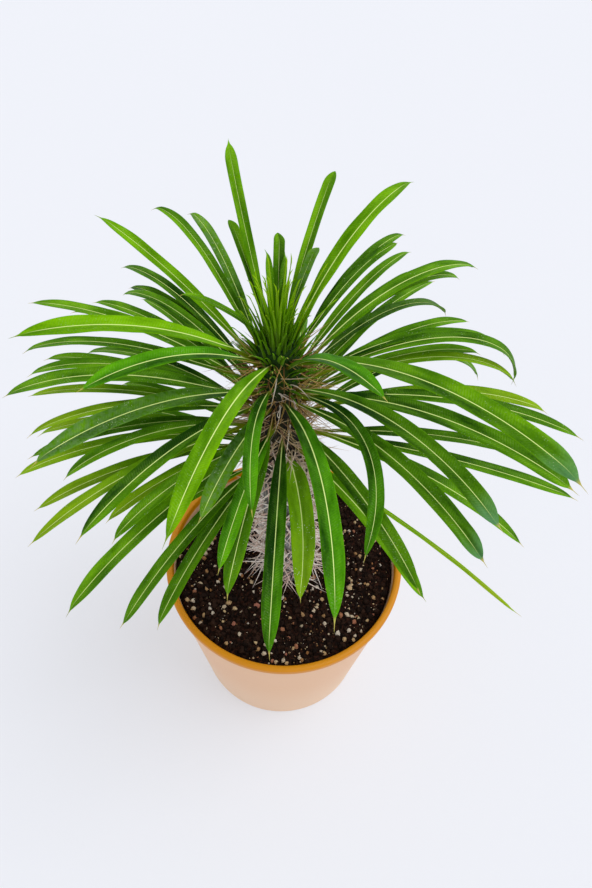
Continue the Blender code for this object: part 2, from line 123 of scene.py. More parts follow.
def put(name: str, data: bpy.types.ID, *axes: Array) -> bpy.types.Object:
    """A new object in the scene.

    Args:
        name: its name.
        data: its mesh, camera or light.
        axes: its x, y and z directions and its place, or nothing where it stays at the origin.

    Returns:
        The object.
    """
    made = bpy.data.objects.new(name, data)
    if axes:
        matrix = np.eye(4)
        matrix[:3] = np.stack(axes, 1)
        made.matrix_world = Matrix(matrix.tolist())
    bpy.context.scene.collection.objects.link(made)
    return made


@dataclass
class Patch:
    """A piece of surface: points, faces, and what each point carries for the materials."""

    points: Array
    quads: Array
    triangles: Array
    marks: dict[str, Array]
    uv: Array | None = None

    @staticmethod
    def loft(rings: Array, start: Array, end: Array) -> Patch:
        """Closed rings joined one to the next, with a point that closes each end.

        Args:
            rings: rows of rings of points, anticlockwise seen from the end.
            start: the point that closes the first ring.
            end: the point that closes the last ring.

        Returns:
            The patch, whose points are the rings in order and then the two end points.
        """
        rows, columns = rings.shape[:2]
        count = rows * columns
        index = np.arange(count).reshape(rows, columns)
        after = np.roll(index, -1, axis=1)
        quads = np.stack([index[:-1], after[:-1], after[1:], index[1:]], -1).reshape(-1, 4)
        fans = np.vstack([np.stack([after[0], index[0], np.full(columns, count)], -1),
                          np.stack([index[-1], after[-1], np.full(columns, count + 1)], -1)])
        return Patch(np.vstack([rings.reshape(-1, 3), start, end]), quads, fans, {})

    @staticmethod
    def joined(patches: list[Patch]) -> Patch:
        """Several patches as one, with their points numbered on.

        Args:
            patches: the patches, which all have a map and carry the same marks.

        Returns:
            One patch.
        """
        starts = np.cumsum([0] + [len(p.points) for p in patches[:-1]])
        return Patch(
            np.vstack([p.points for p in patches]),
            np.vstack([p.quads + s for p, s in zip(patches, starts)]),
            np.vstack([p.triangles + s for p, s in zip(patches, starts)]),
            {key: np.concatenate([p.marks[key] for p in patches]) for key in patches[0].marks},
            np.vstack([p.uv for p in patches]))

    @staticmethod
    def repeated(points: Array, faces: Array, marks: dict[str, Array]) -> Patch:
        """Many copies of one small triangle mesh, each with its own places.

        Args:
            points: copies by points by three.
            faces: the triangles of one copy.
            marks: one value per copy for each mark.

        Returns:
            One patch.
        """
        copies, each = points.shape[:2]
        shifted = faces[None] + (np.arange(copies) * each)[:, None, None]
        spread = {key: np.repeat(value, each) for key, value in marks.items()}
        return Patch(points.reshape(-1, 3), np.zeros((0, 4), int), shifted.reshape(-1, 3), spread)

    def to_object(self, name: str, material: Material, soft: bool = True) -> bpy.types.Object:
        """Writes the patch into a mesh object at the origin.

        Args:
            name: the piece's name.
            material: its material.
            soft: whether its faces are shaded smooth.

        Returns:
            The new object.
        """
        mesh = bpy.data.meshes.new(name)
        loops = np.concatenate([self.quads.ravel(), self.triangles.ravel()])
        sizes = np.repeat([4, 3], [len(self.quads), len(self.triangles)])
        mesh.vertices.add(len(self.points))
        mesh.vertices.foreach_set("co", self.points.astype(np.float32).ravel())
        mesh.loops.add(len(loops))
        mesh.loops.foreach_set("vertex_index", loops.astype(np.int32))
        mesh.polygons.add(len(sizes))
        mesh.polygons.foreach_set("loop_start", (np.cumsum(sizes) - sizes).astype(np.int32))
        mesh.polygons.foreach_set("use_smooth", np.full(len(sizes), soft))
        for key, value in self.marks.items():
            mark = mesh.attributes.new(key, "FLOAT", "POINT")
            mark.data.foreach_set("value", value.astype(np.float32))
        if self.uv is not None:
            layer = mesh.uv_layers.new(name="blade")
            layer.data.foreach_set("uv", self.uv[loops].astype(np.float32).ravel())
        mesh.update(calc_edges=True)
        mesh.validate()
        mesh.materials.append(material)
        return put(name, mesh)


def finish_piece(piece: bpy.types.Object, nodes: list[str]) -> None:
    """Ties a finished piece to the CAD body and says what it stands for.

    Args:
        piece: the finished object.
        nodes: the CAD nodes that it replaces.
    """
    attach(piece, "root")
    if nodes:
        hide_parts(*nodes)
    LOG.info("%s: %d faces, stands for %s", piece.name, len(piece.data.polygons), ", ".join(nodes) or "trim")


# Shaders.


def math_operator(operation: str, swapped: bool = False) -> Callable[[Value, Value | float], Value]:
    """An operator of Value as one Math node.

    Args:
        operation: Blender's name of the sum.
        swapped: whether the other value comes first.

    Returns:
        The method.
    """
    def method(self: Value, other: Value | float) -> Value:
        """This value and another through the node."""
        return self.shader.math(operation, *((other, self) if swapped else (self, other)))
    return method


class Value:
    """A number socket that takes part in sums: each operator adds one Math node."""

    __add__ = __radd__ = math_operator("ADD")
    __mul__ = __rmul__ = math_operator("MULTIPLY")
    __sub__, __rsub__ = math_operator("SUBTRACT"), math_operator("SUBTRACT", swapped=True)
    __truediv__, __pow__ = math_operator("DIVIDE"), math_operator("POWER")

    def __init__(self, shader: Shader, socket: Socket) -> None:
        """Keeps the shader and the socket that gives the number."""
        self.shader = shader
        self.socket = socket

    def size(self) -> Value:
        """The value without its sign."""
        return self.shader.math("ABSOLUTE", self)

    def wave(self, pitch: float) -> Value:
        """The sine that repeats each time the value grows by the pitch."""
        return self.shader.math("SINE", self * (FULL_TURN / pitch))

    def step(self, low: float, high: float) -> Value:
        """0 below low and 1 above high, smooth between; high may be the lower of the two.

        Args:
            low: where the step starts.
            high: where it ends.

        Returns:
            The share.
        """
        flip = low > high
        node = self.shader.node(
            "ShaderNodeMapRange", {"interpolation_type": "SMOOTHSTEP"},
            {"Value": self, "From Min": min(low, high), "From Max": max(low, high),
             "To Min": float(flip), "To Max": float(not flip)})
        return Value(self.shader, node.outputs["Result"])


class Shader:
    """A material's node tree, with short words for the nodes that the finishes use."""

    def __init__(self, name: str, roughness: float, specular: float) -> None:
        """A new material with one Principled surface.

        Args:
            name: the material's name.
            roughness: its roughness where nothing is linked.
            specular: its level of plain reflection.
        """
        self.material = bpy.data.materials.new(name)
        self.material.use_nodes = True
        self.tree = self.material.node_tree
        self.surface = self.tree.nodes["Principled BSDF"]
        self.surface.inputs["Roughness"].default_value = roughness
        self.surface.inputs["Specular IOR Level"].default_value = specular

    def feed(self, socket: Socket, value: object) -> None:
        """Links a socket or a Value to an input, or sets the input's own value.

        Args:
            socket: the input.
            value: a Value, a socket, a number, or a colour or vector.
        """
        if isinstance(value, Value):
            value = value.socket
        if isinstance(value, Socket):
            self.tree.links.new(value, socket)
        elif socket.type == "RGBA" and len(value) == 3:
            socket.default_value = (*value, 1)
        else:
            socket.default_value = value

    def node(self, kind: str, settings: dict | None = None, values: dict | None = None) -> bpy.types.Node:
        """Any node: its settings first, then its inputs.

        Args:
            kind: Blender's name of the node's type.
            settings: attributes to set; "stops" are a colour ramp's places and colours.
            values: input name or number to value or link.

        Returns:
            The node.
        """
        made = self.tree.nodes.new(kind)
        for key, setting in (settings or {}).items():
            if key == "stops":
                ramp = made.color_ramp.elements
                while len(ramp) < len(setting):
                    ramp.new(0.5)
                for stop, (place, colour) in zip(ramp, setting):
                    stop.position, stop.color = place, (*colour, 1)
            else:
                setattr(made, key, setting)
        for key, value in (values or {}).items():
            self.feed(made.inputs[key], value)
        return made

    def math(self, operation: str, *values: Value | float) -> Value:
        """One Math node on one to three values."""
        node = self.node("ShaderNodeMath", {"operation": operation}, dict(enumerate(values)))
        return Value(self, node.outputs[0])

    def marks(self, *names: str) -> tuple[Value, ...]:
        """Numbers that each point of the mesh carries."""
        nodes = (self.node("ShaderNodeAttribute", {"attribute_name": name}) for name in names)
        return tuple(Value(self, node.outputs["Fac"]) for node in nodes)

    def place(self) -> Socket:
        """The piece's own coordinates, which are the row frame's, in metres."""
        return self.node("ShaderNodeTexCoord").outputs["Object"]

    def split(self, vector: Socket) -> tuple[Value, Value, Value]:
        """The three numbers of a vector."""
        node = self.node("ShaderNodeSeparateXYZ", None, {0: vector})
        return tuple(Value(self, output) for output in node.outputs)

    def join(self, *numbers: Value | float) -> Socket:
        """A vector of three numbers."""
        return self.node("ShaderNodeCombineXYZ", None, dict(enumerate(numbers))).outputs[0]

    def noise(self, where: Socket, scale: float, detail: float = 3, warp: float = 0) -> Value:
        """Cloudy noise of about 0.3 to 0.7.

        Args:
            where: the coordinates.
            scale: features per unit of the coordinates.
            detail: how many finer layers it has.
            warp: how far it is bent by itself.

        Returns:
            The noise.
        """
        node = self.node("ShaderNodeTexNoise", None,
                         {"Vector": where, "Scale": scale, "Detail": detail, "Distortion": warp})
        return Value(self, node.outputs["Fac"])

    def cells(self, where: Socket, scale: float, feature: str = "F1") -> Value:
        """Distance in a pattern of random cells."""
        node = self.node("ShaderNodeTexVoronoi", {"feature": feature}, {"Vector": where, "Scale": scale})
        return Value(self, node.outputs["Distance"])

    def mix(self, first: object, *coats: tuple[Value | float, object]) -> Socket:
        """A colour under coats of others.

        Args:
            first: a colour or its socket.
            coats: a share and a colour each: 0 leaves what is under it and 1 covers it.

        Returns:
            The colour socket.
        """
        for share, second in coats:
            node = self.node("ShaderNodeMix", {"data_type": "RGBA"}, {0: share, 6: first, 7: second})
            first = node.outputs[2]
        return first

    def paint(self, colour: Socket, roughness: Value | None = None, height: Value | None = None,
              relief: float = 0.0) -> Material:
        """Feeds the surface and gives the finished material.

        Args:
            colour: the base colour.
            roughness: the roughness, or None for the one set at the start.
            height: relief between 0 and 1, or None.
            relief: what a height of 1 means, in metres.

        Returns:
            The material.
        """
        self.feed(self.surface.inputs["Base Color"], colour)
        if roughness is not None:
            self.feed(self.surface.inputs["Roughness"], roughness)
        if height is not None:
            bump = self.node("ShaderNodeBump", None, {"Distance": relief, "Height": height})
            self.feed(self.surface.inputs["Normal"], bump.outputs["Normal"])
        return self.material


@dataclass(frozen=True)
class LeafFinish:
    """Strap leaf: green by age, pale midrib, fine side veins, olive stalk, straw tip; painted grey sheen,
    painted sky sheen at the tip, and halves painted lighter and darker across the fold.
    """

    deep: Colour = srgb(22, 60, 2)
    middle: Colour = srgb(74, 126, 2)
    bright: Colour = srgb(122, 182, 2)
    under: Colour = srgb(118, 160, 30)
    midrib: Colour = srgb(238, 255, 160)
    stalk: Colour = srgb(114, 134, 14)
    stalk_foot: Colour = srgb(98, 74, 22)
    tip: Colour = srgb(206, 186, 100)
    # Painted sheen: the grey reflection of the pale room on glossy blades.
    dusty: Colour = srgb(108, 138, 92)
    # Painted sheen: the bluish reflection of the sky near the tip.
    cool: Colour = srgb(98, 152, 122)
    yellowed: Colour = srgb(170, 196, 26)
    emerald: Colour = srgb(34, 164, 4)
    deep_emerald: Colour = srgb(6, 58, 2)
    speck: Colour = srgb(216, 224, 190)
    vein_pitch_mm: float = 1.25
    relief: float = 0.2 * MM

    def build(self) -> Material:
        """The leaf material.

        It reads the blade's own map, made millimetres here, and the marks that LeafMaker gives to
        every point.

        Returns:
            The material.
        """
        s = Shader("leaf_blade", roughness=0.4, specular=0.02)
        across, along, under, seed, tone, rib = s.marks("across", "along", "under", "seed", "tone", "rib")
        dust, cool, yellow, emerald = s.marks("dust", "cool", "yellow", "emerald")
        spots, stalk, straw = s.marks("spots", "stalk", "straw")
        u, v, _ = s.split(s.node("ShaderNodeUVMap", {"uv_map": "blade"}).outputs["UV"])
        aside, length, seed = (u - 0.5) * MAP_MM, v * MAP_MM, seed * 90
        share, where = across.size(), s.join(aside, length, seed)
        blotch = s.noise(s.join(aside * 0.7, length * 0.14, seed), 0.35, 4)
        mottle = s.noise(where, 1.1)
        age = tone + (blotch - 0.5) * 0.95 + (mottle - 0.5) * 0.28
        emerald_green = s.mix(self.deep_emerald, (age.step(0.05, 0.8), self.emerald))
        slant = length + aside.size() * 0.55 + (mottle - 0.5) * 1.6
        veins = (slant.wave(self.vein_pitch_mm) * 0.5 + 0.5) ** 3
        veins = veins * share.step(1.0, 0.5) * blotch.step(0.3, 0.7)
        # Painted sheen: grey reflection of the pale room in soft patches, stronger towards the tip.
        dust = dust * (along.step(0.25, 0.9) * 0.65 + 0.35) * (s.noise(where, 0.5) - 0.2).step(0.1, 0.45)
        # Painted sheen: bluish reflection of the sky over the last part of the blade.
        cool = cool * (along + (blotch - 0.5) * 0.2).step(0.84, 1.0)
        yellow = yellow * ((along + (blotch - 0.5) * 0.5).step(0.45, 0.95) * 0.75 + 0.25)
        rib = (aside.size() / (rib * (1.2 - along * 0.7))).step(1.35, 0.55)
        rib = rib * along.step(0.97, 0.85) * (1 - under * 0.4)
        specks = s.cells(where, 0.9).step(0.25, 0.1) * s.noise(where, 0.12, 1).step(0.5, 0.62)
        flecks = s.noise(where, 1.8, 2).step(0.48, 0.62)
        olive = s.mix(self.stalk, (flecks * 0.55, self.stalk_foot), (along.step(0.07, 0.0), self.stalk_foot))
        colour = s.mix(
            self.deep, (age.step(0.0, 0.5), self.middle), (age.step(0.38, 0.95), self.bright),
            (emerald * 0.34, emerald_green), (veins * 0.06, self.midrib),
            (share.step(0.88, 1.0) * 0.3, self.bright), (dust * 0.6, self.dusty),
            (cool * 0.6, self.cool), (yellow, self.yellowed), (under * 0.45, self.under),
            (rib * 0.92, self.midrib), (specks * spots, self.speck), (stalk * 0.92, olive),
            (along.step(0.955, 0.972) * straw, self.tip))
        rough = 0.36 + (mottle - 0.5) * 0.25 + dust * 0.18 + rib * 0.1
        return s.paint(colour, rough, veins * 0.12 + mottle * 0.5 - rib * 0.3, self.relief)


@dataclass(frozen=True)
class BarkFinish:
    """Silvery skin of the stem, with brown scars and fine cracks, darker and greener above, where patches of
    near-black painted shade stand for the shadow of the leaves.
    """

    silver: Colour = srgb(146, 146, 144)
    grey: Colour = srgb(80, 79, 76)
    brown: Colour = srgb(54, 38, 26)
    # Greener upper bark, darkened as painted shade under the leaves.
    young: Colour = srgb(36, 38, 8)
    # Painted shade: near-black patches for the shadow of the leaves over the upper stem.
    dark: Colour = srgb(9, 8, 3)
    crown: Colour = srgb(30, 62, 6)
    shaded_upper_heights: tuple[float, float] = (0.215, 0.275)
    crown_heights: tuple[float, float] = (0.33, 0.352)
    scar_heights: tuple[float, float] = (0.35, 0.33)
    relief: float = 0.6 * MM

    def build(self) -> Material:
        """The bark material, which reads the mark scar and the height above the pot's base.

        Returns:
            The material.
        """
        s = Shader("stem_bark", roughness=0.75, specular=0.25)
        (scar,), place = s.marks("scar"), s.place()
        x, y, z = s.split(place)
        fine, broad = s.noise(place, 900, 4), s.noise(place, 120, 3, 0.5)
        cracks = s.cells(s.join(x, y, z * 0.4), 420, "DISTANCE_TO_EDGE").step(0.12, 0.0)
        low = s.mix(self.silver, (broad.step(0.38, 0.62), self.grey),
                    (cracks * 0.55 + (fine - 0.5) * 0.8, self.brown))
        # Upper stem: greener bark with near-black patches of painted shade under the leaves.
        high = s.mix(self.young, (broad.step(0.4, 0.6), self.dark), (fine.step(0.5, 0.7) * 0.6, self.brown),
                     (z.step(*self.crown_heights), self.crown))
        colour = s.mix(low, (z.step(*self.shaded_upper_heights), high),
                       (scar.step(0.55, 0.95) * z.step(*self.scar_heights) * 0.75, self.brown))
        return s.paint(colour, 0.62 + fine * 0.3, fine * 0.5 + broad * 0.3 - cracks * 0.5, self.relief)


@dataclass(frozen=True)
class SpineFinish:
    """Woody needles: chalky pink-grey on the old stem, tan to dark brown on the young one."""

    chalk: Colour = srgb(250, 240, 232)
    blush: Colour = srgb(212, 174, 158)
    tan: Colour = srgb(196, 160, 88)
    brown: Colour = srgb(104, 60, 30)
    relief: float = 0.2 * MM

    def build(self) -> Material:
        """The spine material, which reads the marks age (1 is old), seed and reach (1 is the tip).

        Returns:
            The material.
        """
        s = Shader("spine_wood", roughness=0.6, specular=0.3)
        age, seed, reach = s.marks("age", "seed", "reach")
        grain = s.noise(s.place(), 700)
        old = s.mix(self.chalk, (seed.step(0.3, 1.0) * 0.8 + (grain - 0.5) * 0.6, self.blush))
        colour = s.mix(self.tan, (seed.step(0.4, 1.0) + (grain - 0.5) * 0.5, self.brown), (age, old),
                       (reach.step(0.75, 1.0) * (0.5 - age * 0.3), self.brown))
        return s.paint(colour, 0.45 + grain * 0.3, grain, self.relief)


@dataclass(frozen=True)
class PotFinish:
    """Satin moulded plastic: ochre on the rim, pale peach on the wall, and paler near the foot as painted
    light thrown up from the bright floor.
    """

    rim: Colour = srgb(216, 140, 2)
    rim_shade: Colour = srgb(196, 120, 2)
    wall: Colour = srgb(236, 190, 150)
    # Painted light: the wall's paler colour near the foot, lit by the bright floor.
    wall_floor_lit: Colour = srgb(240, 204, 170)
    rim_edge: tuple[float, float] = (0.1425, 0.1445)
    floor_lit_heights: tuple[float, float] = (0.1, 0.01)
    ring_pitch: float = 0.9 * MM
    relief: float = 0.12 * MM

    def build(self) -> Material:
        """The pot material, which reads the height.

        Returns:
            The material.
        """
        s = Shader("pot_plastic", roughness=0.42, specular=0.3)
        place = s.place()
        z = s.split(place)[2]
        cloud, fine = s.noise(place, 22), s.noise(place, 1600, 2)
        rim = s.mix(self.rim, ((cloud - 0.5) * 0.6 + 0.1, self.rim_shade))
        # Paler towards the foot: painted light reflected up from the bright floor.
        colour = s.mix(self.wall, (z.step(*self.floor_lit_heights) * 0.8 + (cloud - 0.5) * 0.4, self.wall_floor_lit),
                       (z.step(*self.rim_edge), rim))
        height = fine * 0.3 + z.wave(self.ring_pitch) * 0.06
        return s.paint(colour, 0.36 + cloud * 0.12 + fine * 0.06, height, self.relief)


@dataclass(frozen=True)
class SoilFinish:
    """Damp peat: near black, with brown fibres and crumbs."""

    black: Colour = srgb(18, 9, 6)
    brown: Colour = srgb(66, 36, 25)
    fibre: Colour = srgb(100, 64, 42)
    relief: float = 1.4 * MM

    def build(self) -> Material:
        """The soil material.

        Returns:
            The material.
        """
        s = Shader("peat_soil", roughness=0.85, specular=0.1)
        place = s.place()
        crumbs, fine = s.noise(place, 420, 5, 0.6), s.noise(place, 1900)
        colour = s.mix(self.black, (crumbs.step(0.45, 0.68) * 0.8 + (fine - 0.5) * 0.4, self.brown),
                       (s.noise(place, 900, 2, 2.5).step(0.63, 0.72) * 0.5, self.fibre))
        height = crumbs + fine * 0.4 - s.cells(place, 520) * 0.5
        return s.paint(colour, 0.7 + fine * 0.3, height, self.relief)


@dataclass(frozen=True)
class GritFinish:
    """Loose grains in the peat: cream, white, tan and pink stones, and dark bark crumbs."""

    cream: Colour = srgb(204, 176, 132)
    white: Colour = srgb(212, 202, 188)
    tan: Colour = srgb(154, 108, 66)
    pink: Colour = srgb(166, 106, 90)
    crumb: Colour = srgb(20, 12, 9)
    bark: Colour = srgb(58, 36, 24)
    relief: float = 0.5 * MM

    def build(self) -> Material:
        """The grit material, which reads the marks kind (1 is stone) and seed.

        Returns:
            The material.
        """
        s = Shader("soil_grit", roughness=0.8, specular=0.12)
        seed, kind = s.marks("seed", "kind")
        fine = s.noise(s.place(), 1500)
        stops = tuple(zip((0.0, 0.3, 0.55, 0.8, 1.0),
                          (self.cream, self.white, self.cream, self.tan, self.pink)))
        stone = s.node("ShaderNodeValToRGB", {"stops": stops}, {"Fac": seed}).outputs["Color"]
        stone = s.mix(stone, (fine.step(0.5, 0.75) * 0.5, self.tan))
        colour = s.mix(self.crumb, (seed * 0.7 + (fine - 0.5) * 0.8, self.bark), (kind, stone))
        return s.paint(colour, 0.65 + fine * 0.3, fine, self.relief)


@dataclass(frozen=True)
class FloorFinish:
    """Matt, pale, slightly bluish floor that glows a little, so that shadows on it stay faint."""

    pale: Colour = srgb(180, 182, 188)
    shade: Colour = srgb(175, 177, 184)
    glow: Colour = (0.96, 0.97, 1.0)
    glow_strength: float = 0.4

    def build(self) -> Material:
        """The floor material.

        Returns:
            The material.
        """
        s = Shader("pale_floor", roughness=0.7, specular=0.1)
        s.feed(s.surface.inputs["Emission Color"], self.glow)
        s.feed(s.surface.inputs["Emission Strength"], self.glow_strength)
        return s.paint(s.mix(self.pale, ((s.noise(s.place(), 3, 2) - 0.4) * 0.3, self.shade)))


# The leaf table, in degrees and millimetres.


@dataclass(frozen=True)
class Tone:
    """How a leaf's green differs from its neighbours'."""

    age: float
    # Share of painted grey sheen, the reflection of the pale room.
    dust: float = 0.0
    spots: float = 0.15
    # Share of painted bluish sky sheen at the tip.
    cool: float = 0.0
    fade: float = 0.35
    straw: float = 0.8
    yellow: float = 0.0
    emerald: float = 0.0


class Look(Enum):
    """The named looks of a leaf."""

    FRESH = Tone(0.66, fade=0.05, straw=0.25)
    LIGHT = Tone(0.5, 0.1, fade=0.15, straw=0.4)
    MATURE = Tone(0.36, 0.1, 0.35)
    DARK = Tone(0.12, 0.05, fade=0.55)
    EMERALD = Tone(0.3, 0.05, emerald=1.0)
    DEEP = Tone(0.14, 0.05, fade=0.5, emerald=0.8)
    SERE = Tone(0.46, 0.1, 0.4, yellow=0.4)
    # Strong painted grey sheen.
    DUSTY = Tone(0.3, 0.75, 0.5)
    # Painted bluish sky sheen at the tip.
    COOL = Tone(0.38, 0.05, 0.2, 0.9, fade=0.15)
    SPOTTED = Tone(0.62, 0.2, 1.0, fade=0.3, yellow=0.3)
    PALE = Tone(0.9, spots=0.5, fade=0, yellow=0.8)
    TOP = Tone(0.52, 0.1, fade=0.15, straw=0)
    TOP_DEEP = Tone(0.24, 0.1, fade=0.4, straw=0)
    # A top leaf with strong painted grey sheen.
    TOP_DUSTY = Tone(0.3, 0.8, 0.3, straw=0)
    HEART = Tone(1.0, straw=0, spots=0, fade=0.55, yellow=0.45)
    DEEP_HEART = Tone(0.7, straw=0, spots=0, fade=0.6, yellow=0.2)
    # Painted shade: young leaves on the side towards the viewer, darker as if in the crown's shadow.
    HEART_FOOT = Tone(0.38, straw=0, spots=0, fade=0.2)


(FRESH, LIGHT, MATURE, DARK, EMERALD, DEEP, SERE, DUSTY, COOL, SPOTTED, PALE, TOP, TOP_DEEP, TOP_DUSTY,
 HEART, DEEP_HEART, HEART_FOOT) = Look


@dataclass(frozen=True)
class Blade:
    """One strap leaf: it leaves the stem at rise degrees above level and bends down by droop."""

    azimuth: float
    rise: float
    droop: float
    length_mm: float
    width_mm: float
    look: Look = MATURE
    curl: float = 1.4
    sweep: float = 0.0
    roll: float = 0.0
    stalk: float = 0.13
    shoulder: float = 0.75
    taper: float = 2.2


@dataclass(frozen=True)
class Foot:
    """A place on the stem, and the leaf or leaves that grow from it."""

    azimuth: float
    height_mm: float
    blades: tuple[Blade, ...]


def foot(azimuth: float, height_mm: float, *blades: Blade) -> Foot:
    """A foot with its leaves."""
    return Foot(azimuth, height_mm, blades)


FEET = (
    foot(134, 350, Blade(142, 52, 88, 98, 5.2, curl=4), Blade(125, 46, 75, 90, 5.5, DUSTY, curl=3)),
    foot(148, 345, Blade(151, 38.5, 25, 113, 6.3, FRESH)),
    foot(138, 322, Blade(137, 28, 62, 134, 6, DARK), Blade(139, 23, 58, 122, 6, DARK)),
    foot(147, 318, Blade(143, 36.5, 80, 120, 6), Blade(151, 25, 50, 122, 6)),
    foot(143, 302, Blade(135, 21, 45, 120, 6), Blade(153, 10, 50, 140, 6)),
    foot(52, 360, Blade(50, 58, 67, 109, 8, FRESH, shoulder=0.8)),
    foot(54, 346, Blade(53, 42, 68, 106, 6), Blade(50, 45, 65, 94, 5.5)),
    foot(53, 335, Blade(53, 30, 50, 112, 6, LIGHT)),
    foot(33, 342, Blade(32, 46, 80, 123, 8), Blade(36, 40, 82, 119, 6)),
    foot(50, 318, Blade(53, 25, 40, 115, 6), Blade(47, 24, 45, 122, 6)),
    foot(60, 300, Blade(60, 10, 45, 135, 6)),
    foot(35, 335, Blade(35, 37, 97, 118, 6, DUSTY)),
    foot(22, 325, Blade(28, 32, 62, 112, 6.4), Blade(17, 27, 55, 107, 6)),
    foot(13, 337, Blade(10.5, 30, 121, 148, 6.8, curl=2), Blade(15, 36, 92, 130, 6)),
    foot(13, 322, Blade(8, 41, 96, 134, 6, SERE), Blade(21, 30, 98, 128, 6)),
    foot(38, 300, Blade(38, 11, 50, 124, 6)),
    foot(4, 316, Blade(3, 23, 55, 140, 7, SERE), Blade(6, 17, 48, 140, 7)),
    foot(350, 328, Blade(349.5, 26, 51, 150, 7)),
    foot(318, 361, Blade(317.6, 44, 60, 166, 9.8, COOL, stalk=0.08, shoulder=0.87)),
    foot(327, 336, Blade(327, 38, 55, 155, 9, DARK, stalk=0.08, shoulder=0.87)),
    foot(0, 298, Blade(354.6, -3, 20, 167, 7), Blade(4, 2, 29, 131, 7)),
    foot(335, 308, Blade(335, 12, 50, 140, 8)),
    foot(312, 344, Blade(314, 42, 75, 142, 8.5, COOL, stalk=0.07, shoulder=0.87)),
    foot(311, 333, Blade(312, 33, 65, 140, 8.8, COOL, stalk=0.09, shoulder=0.87)),
    foot(303, 340, Blade(320, 38, 89, 122, 6.4, DEEP, sweep=-76)),
    foot(302, 318, Blade(304, 22, 55, 121, 8, stalk=0.09)),
    foot(312, 295, Blade(312, 8, 48, 114, 8, LIGHT)),
    foot(331, 280, Blade(331, -6, 26, 157, 4.2, PALE, roll=90)),
    foot(303, 361, Blade(303, 56, 50, 94, 8.2, EMERALD, stalk=0.03)),
    foot(285, 336, Blade(287.5, 38, 56, 152, 8.2, EMERALD, sweep=-17, stalk=0.03, shoulder=0.78)),
    foot(290, 290, Blade(285, 8, 46, 87, 11.6, SPOTTED, sweep=-22, stalk=0.03, shoulder=0.55)),
    foot(277, 308, Blade(270, 16, 50, 127, 8.3, DEEP, stalk=0.06, shoulder=0.76)),
    foot(260, 320, Blade(260.6, 18, 52, 105, 8.2), Blade(257, 22, 52, 96, 7, EMERALD)),
    foot(256, 345, Blade(260, 40, 60, 98, 6, EMERALD, sweep=20)),
    foot(252, 361, Blade(255.5, 38, 57, 133, 8.5, FRESH, stalk=0.03)),
    foot(250, 330, Blade(249.5, 28, 55, 84, 8, DUSTY)),
    foot(236, 288, Blade(240.5, 2, 46, 115, 7.8), Blade(233.5, 5, 46, 126, 7.8)),
    foot(225, 300, Blade(226, 7.5, 46, 143, 8.6, LIGHT), Blade(224, 25, 60, 105, 7)),
    foot(211, 275, Blade(211, 0, 44, 99, 6, LIGHT)),
    foot(208, 295, Blade(214, 14, 48, 98, 7, SERE), Blade(202, 15, 48, 132, 7, SERE)),
    foot(209, 311, Blade(214, 14, 50, 140, 7, SERE), Blade(202, 26, 70, 115, 7)),
    foot(233, 332, Blade(233, 32, 55, 130, 7.2, DARK)),
    foot(186, 295, Blade(191, 12, 48, 145, 7, SERE), Blade(180, 14, 48, 134, 6, SERE)),
    foot(217, 337, Blade(217, 36, 55, 128, 9.5, DUSTY)),
    foot(197, 318, Blade(196, 28, 70, 112, 7), Blade(193, 26, 60, 127, 6, SERE)),
    foot(195, 308, Blade(195, 20, 50, 129, 6)),
    foot(159, 272, Blade(162, -3, 40, 122, 6), Blade(155, 1, 42, 116, 6)),
    foot(170, 306, Blade(173, 11, 42, 143, 6, SERE), Blade(166, 21, 48, 135, 6)),
    foot(181, 322, Blade(186, 30, 64, 140, 9), Blade(175, 24, 60, 134, 6)),
    foot(224, 360, Blade(217, 46, 58, 102, 8.5, EMERALD)),
    foot(165, 331, Blade(171, 20.5, 57, 141, 6), Blade(164, 25, 44, 138, 7)),
    foot(200, 359, Blade(202, 45.3, 50, 122, 9, FRESH)),
    foot(157, 315, Blade(157, 32, 61, 130, 6)),
    foot(158, 285, Blade(158, 16, 44, 100, 5.5)),
    foot(78, 290, Blade(67, 6, 44, 122, 6), Blade(87, 8, 50, 118, 6), Blade(76, -12, 34, 112, 6)),
    foot(108, 284, Blade(100, 4, 44, 112, 6), Blade(119, 4, 44, 122, 6), Blade(110, -16, 32, 108, 6)),
)

TIP_BLADES = (
    Blade(131, 69, 5, 95, 4.8, TOP, sweep=-16, shoulder=0.9),
    Blade(134, 67, 12, 61, 4.6, TOP, shoulder=0.92),
    Blade(108, 75, 10, 45, 3.2, TOP),
    Blade(92, 74, 25, 51, 4.8, TOP_DEEP, shoulder=0.92),
    Blade(84, 74, 15, 43, 3.2, TOP),
    Blade(52, 72, 20, 49, 4.5, TOP_DUSTY, shoulder=0.92),
    Blade(64.5, 63, 20, 82, 5, TOP, shoulder=0.92),
    Blade(170, 48, 50, 50, 3.5),
)


# The plant.


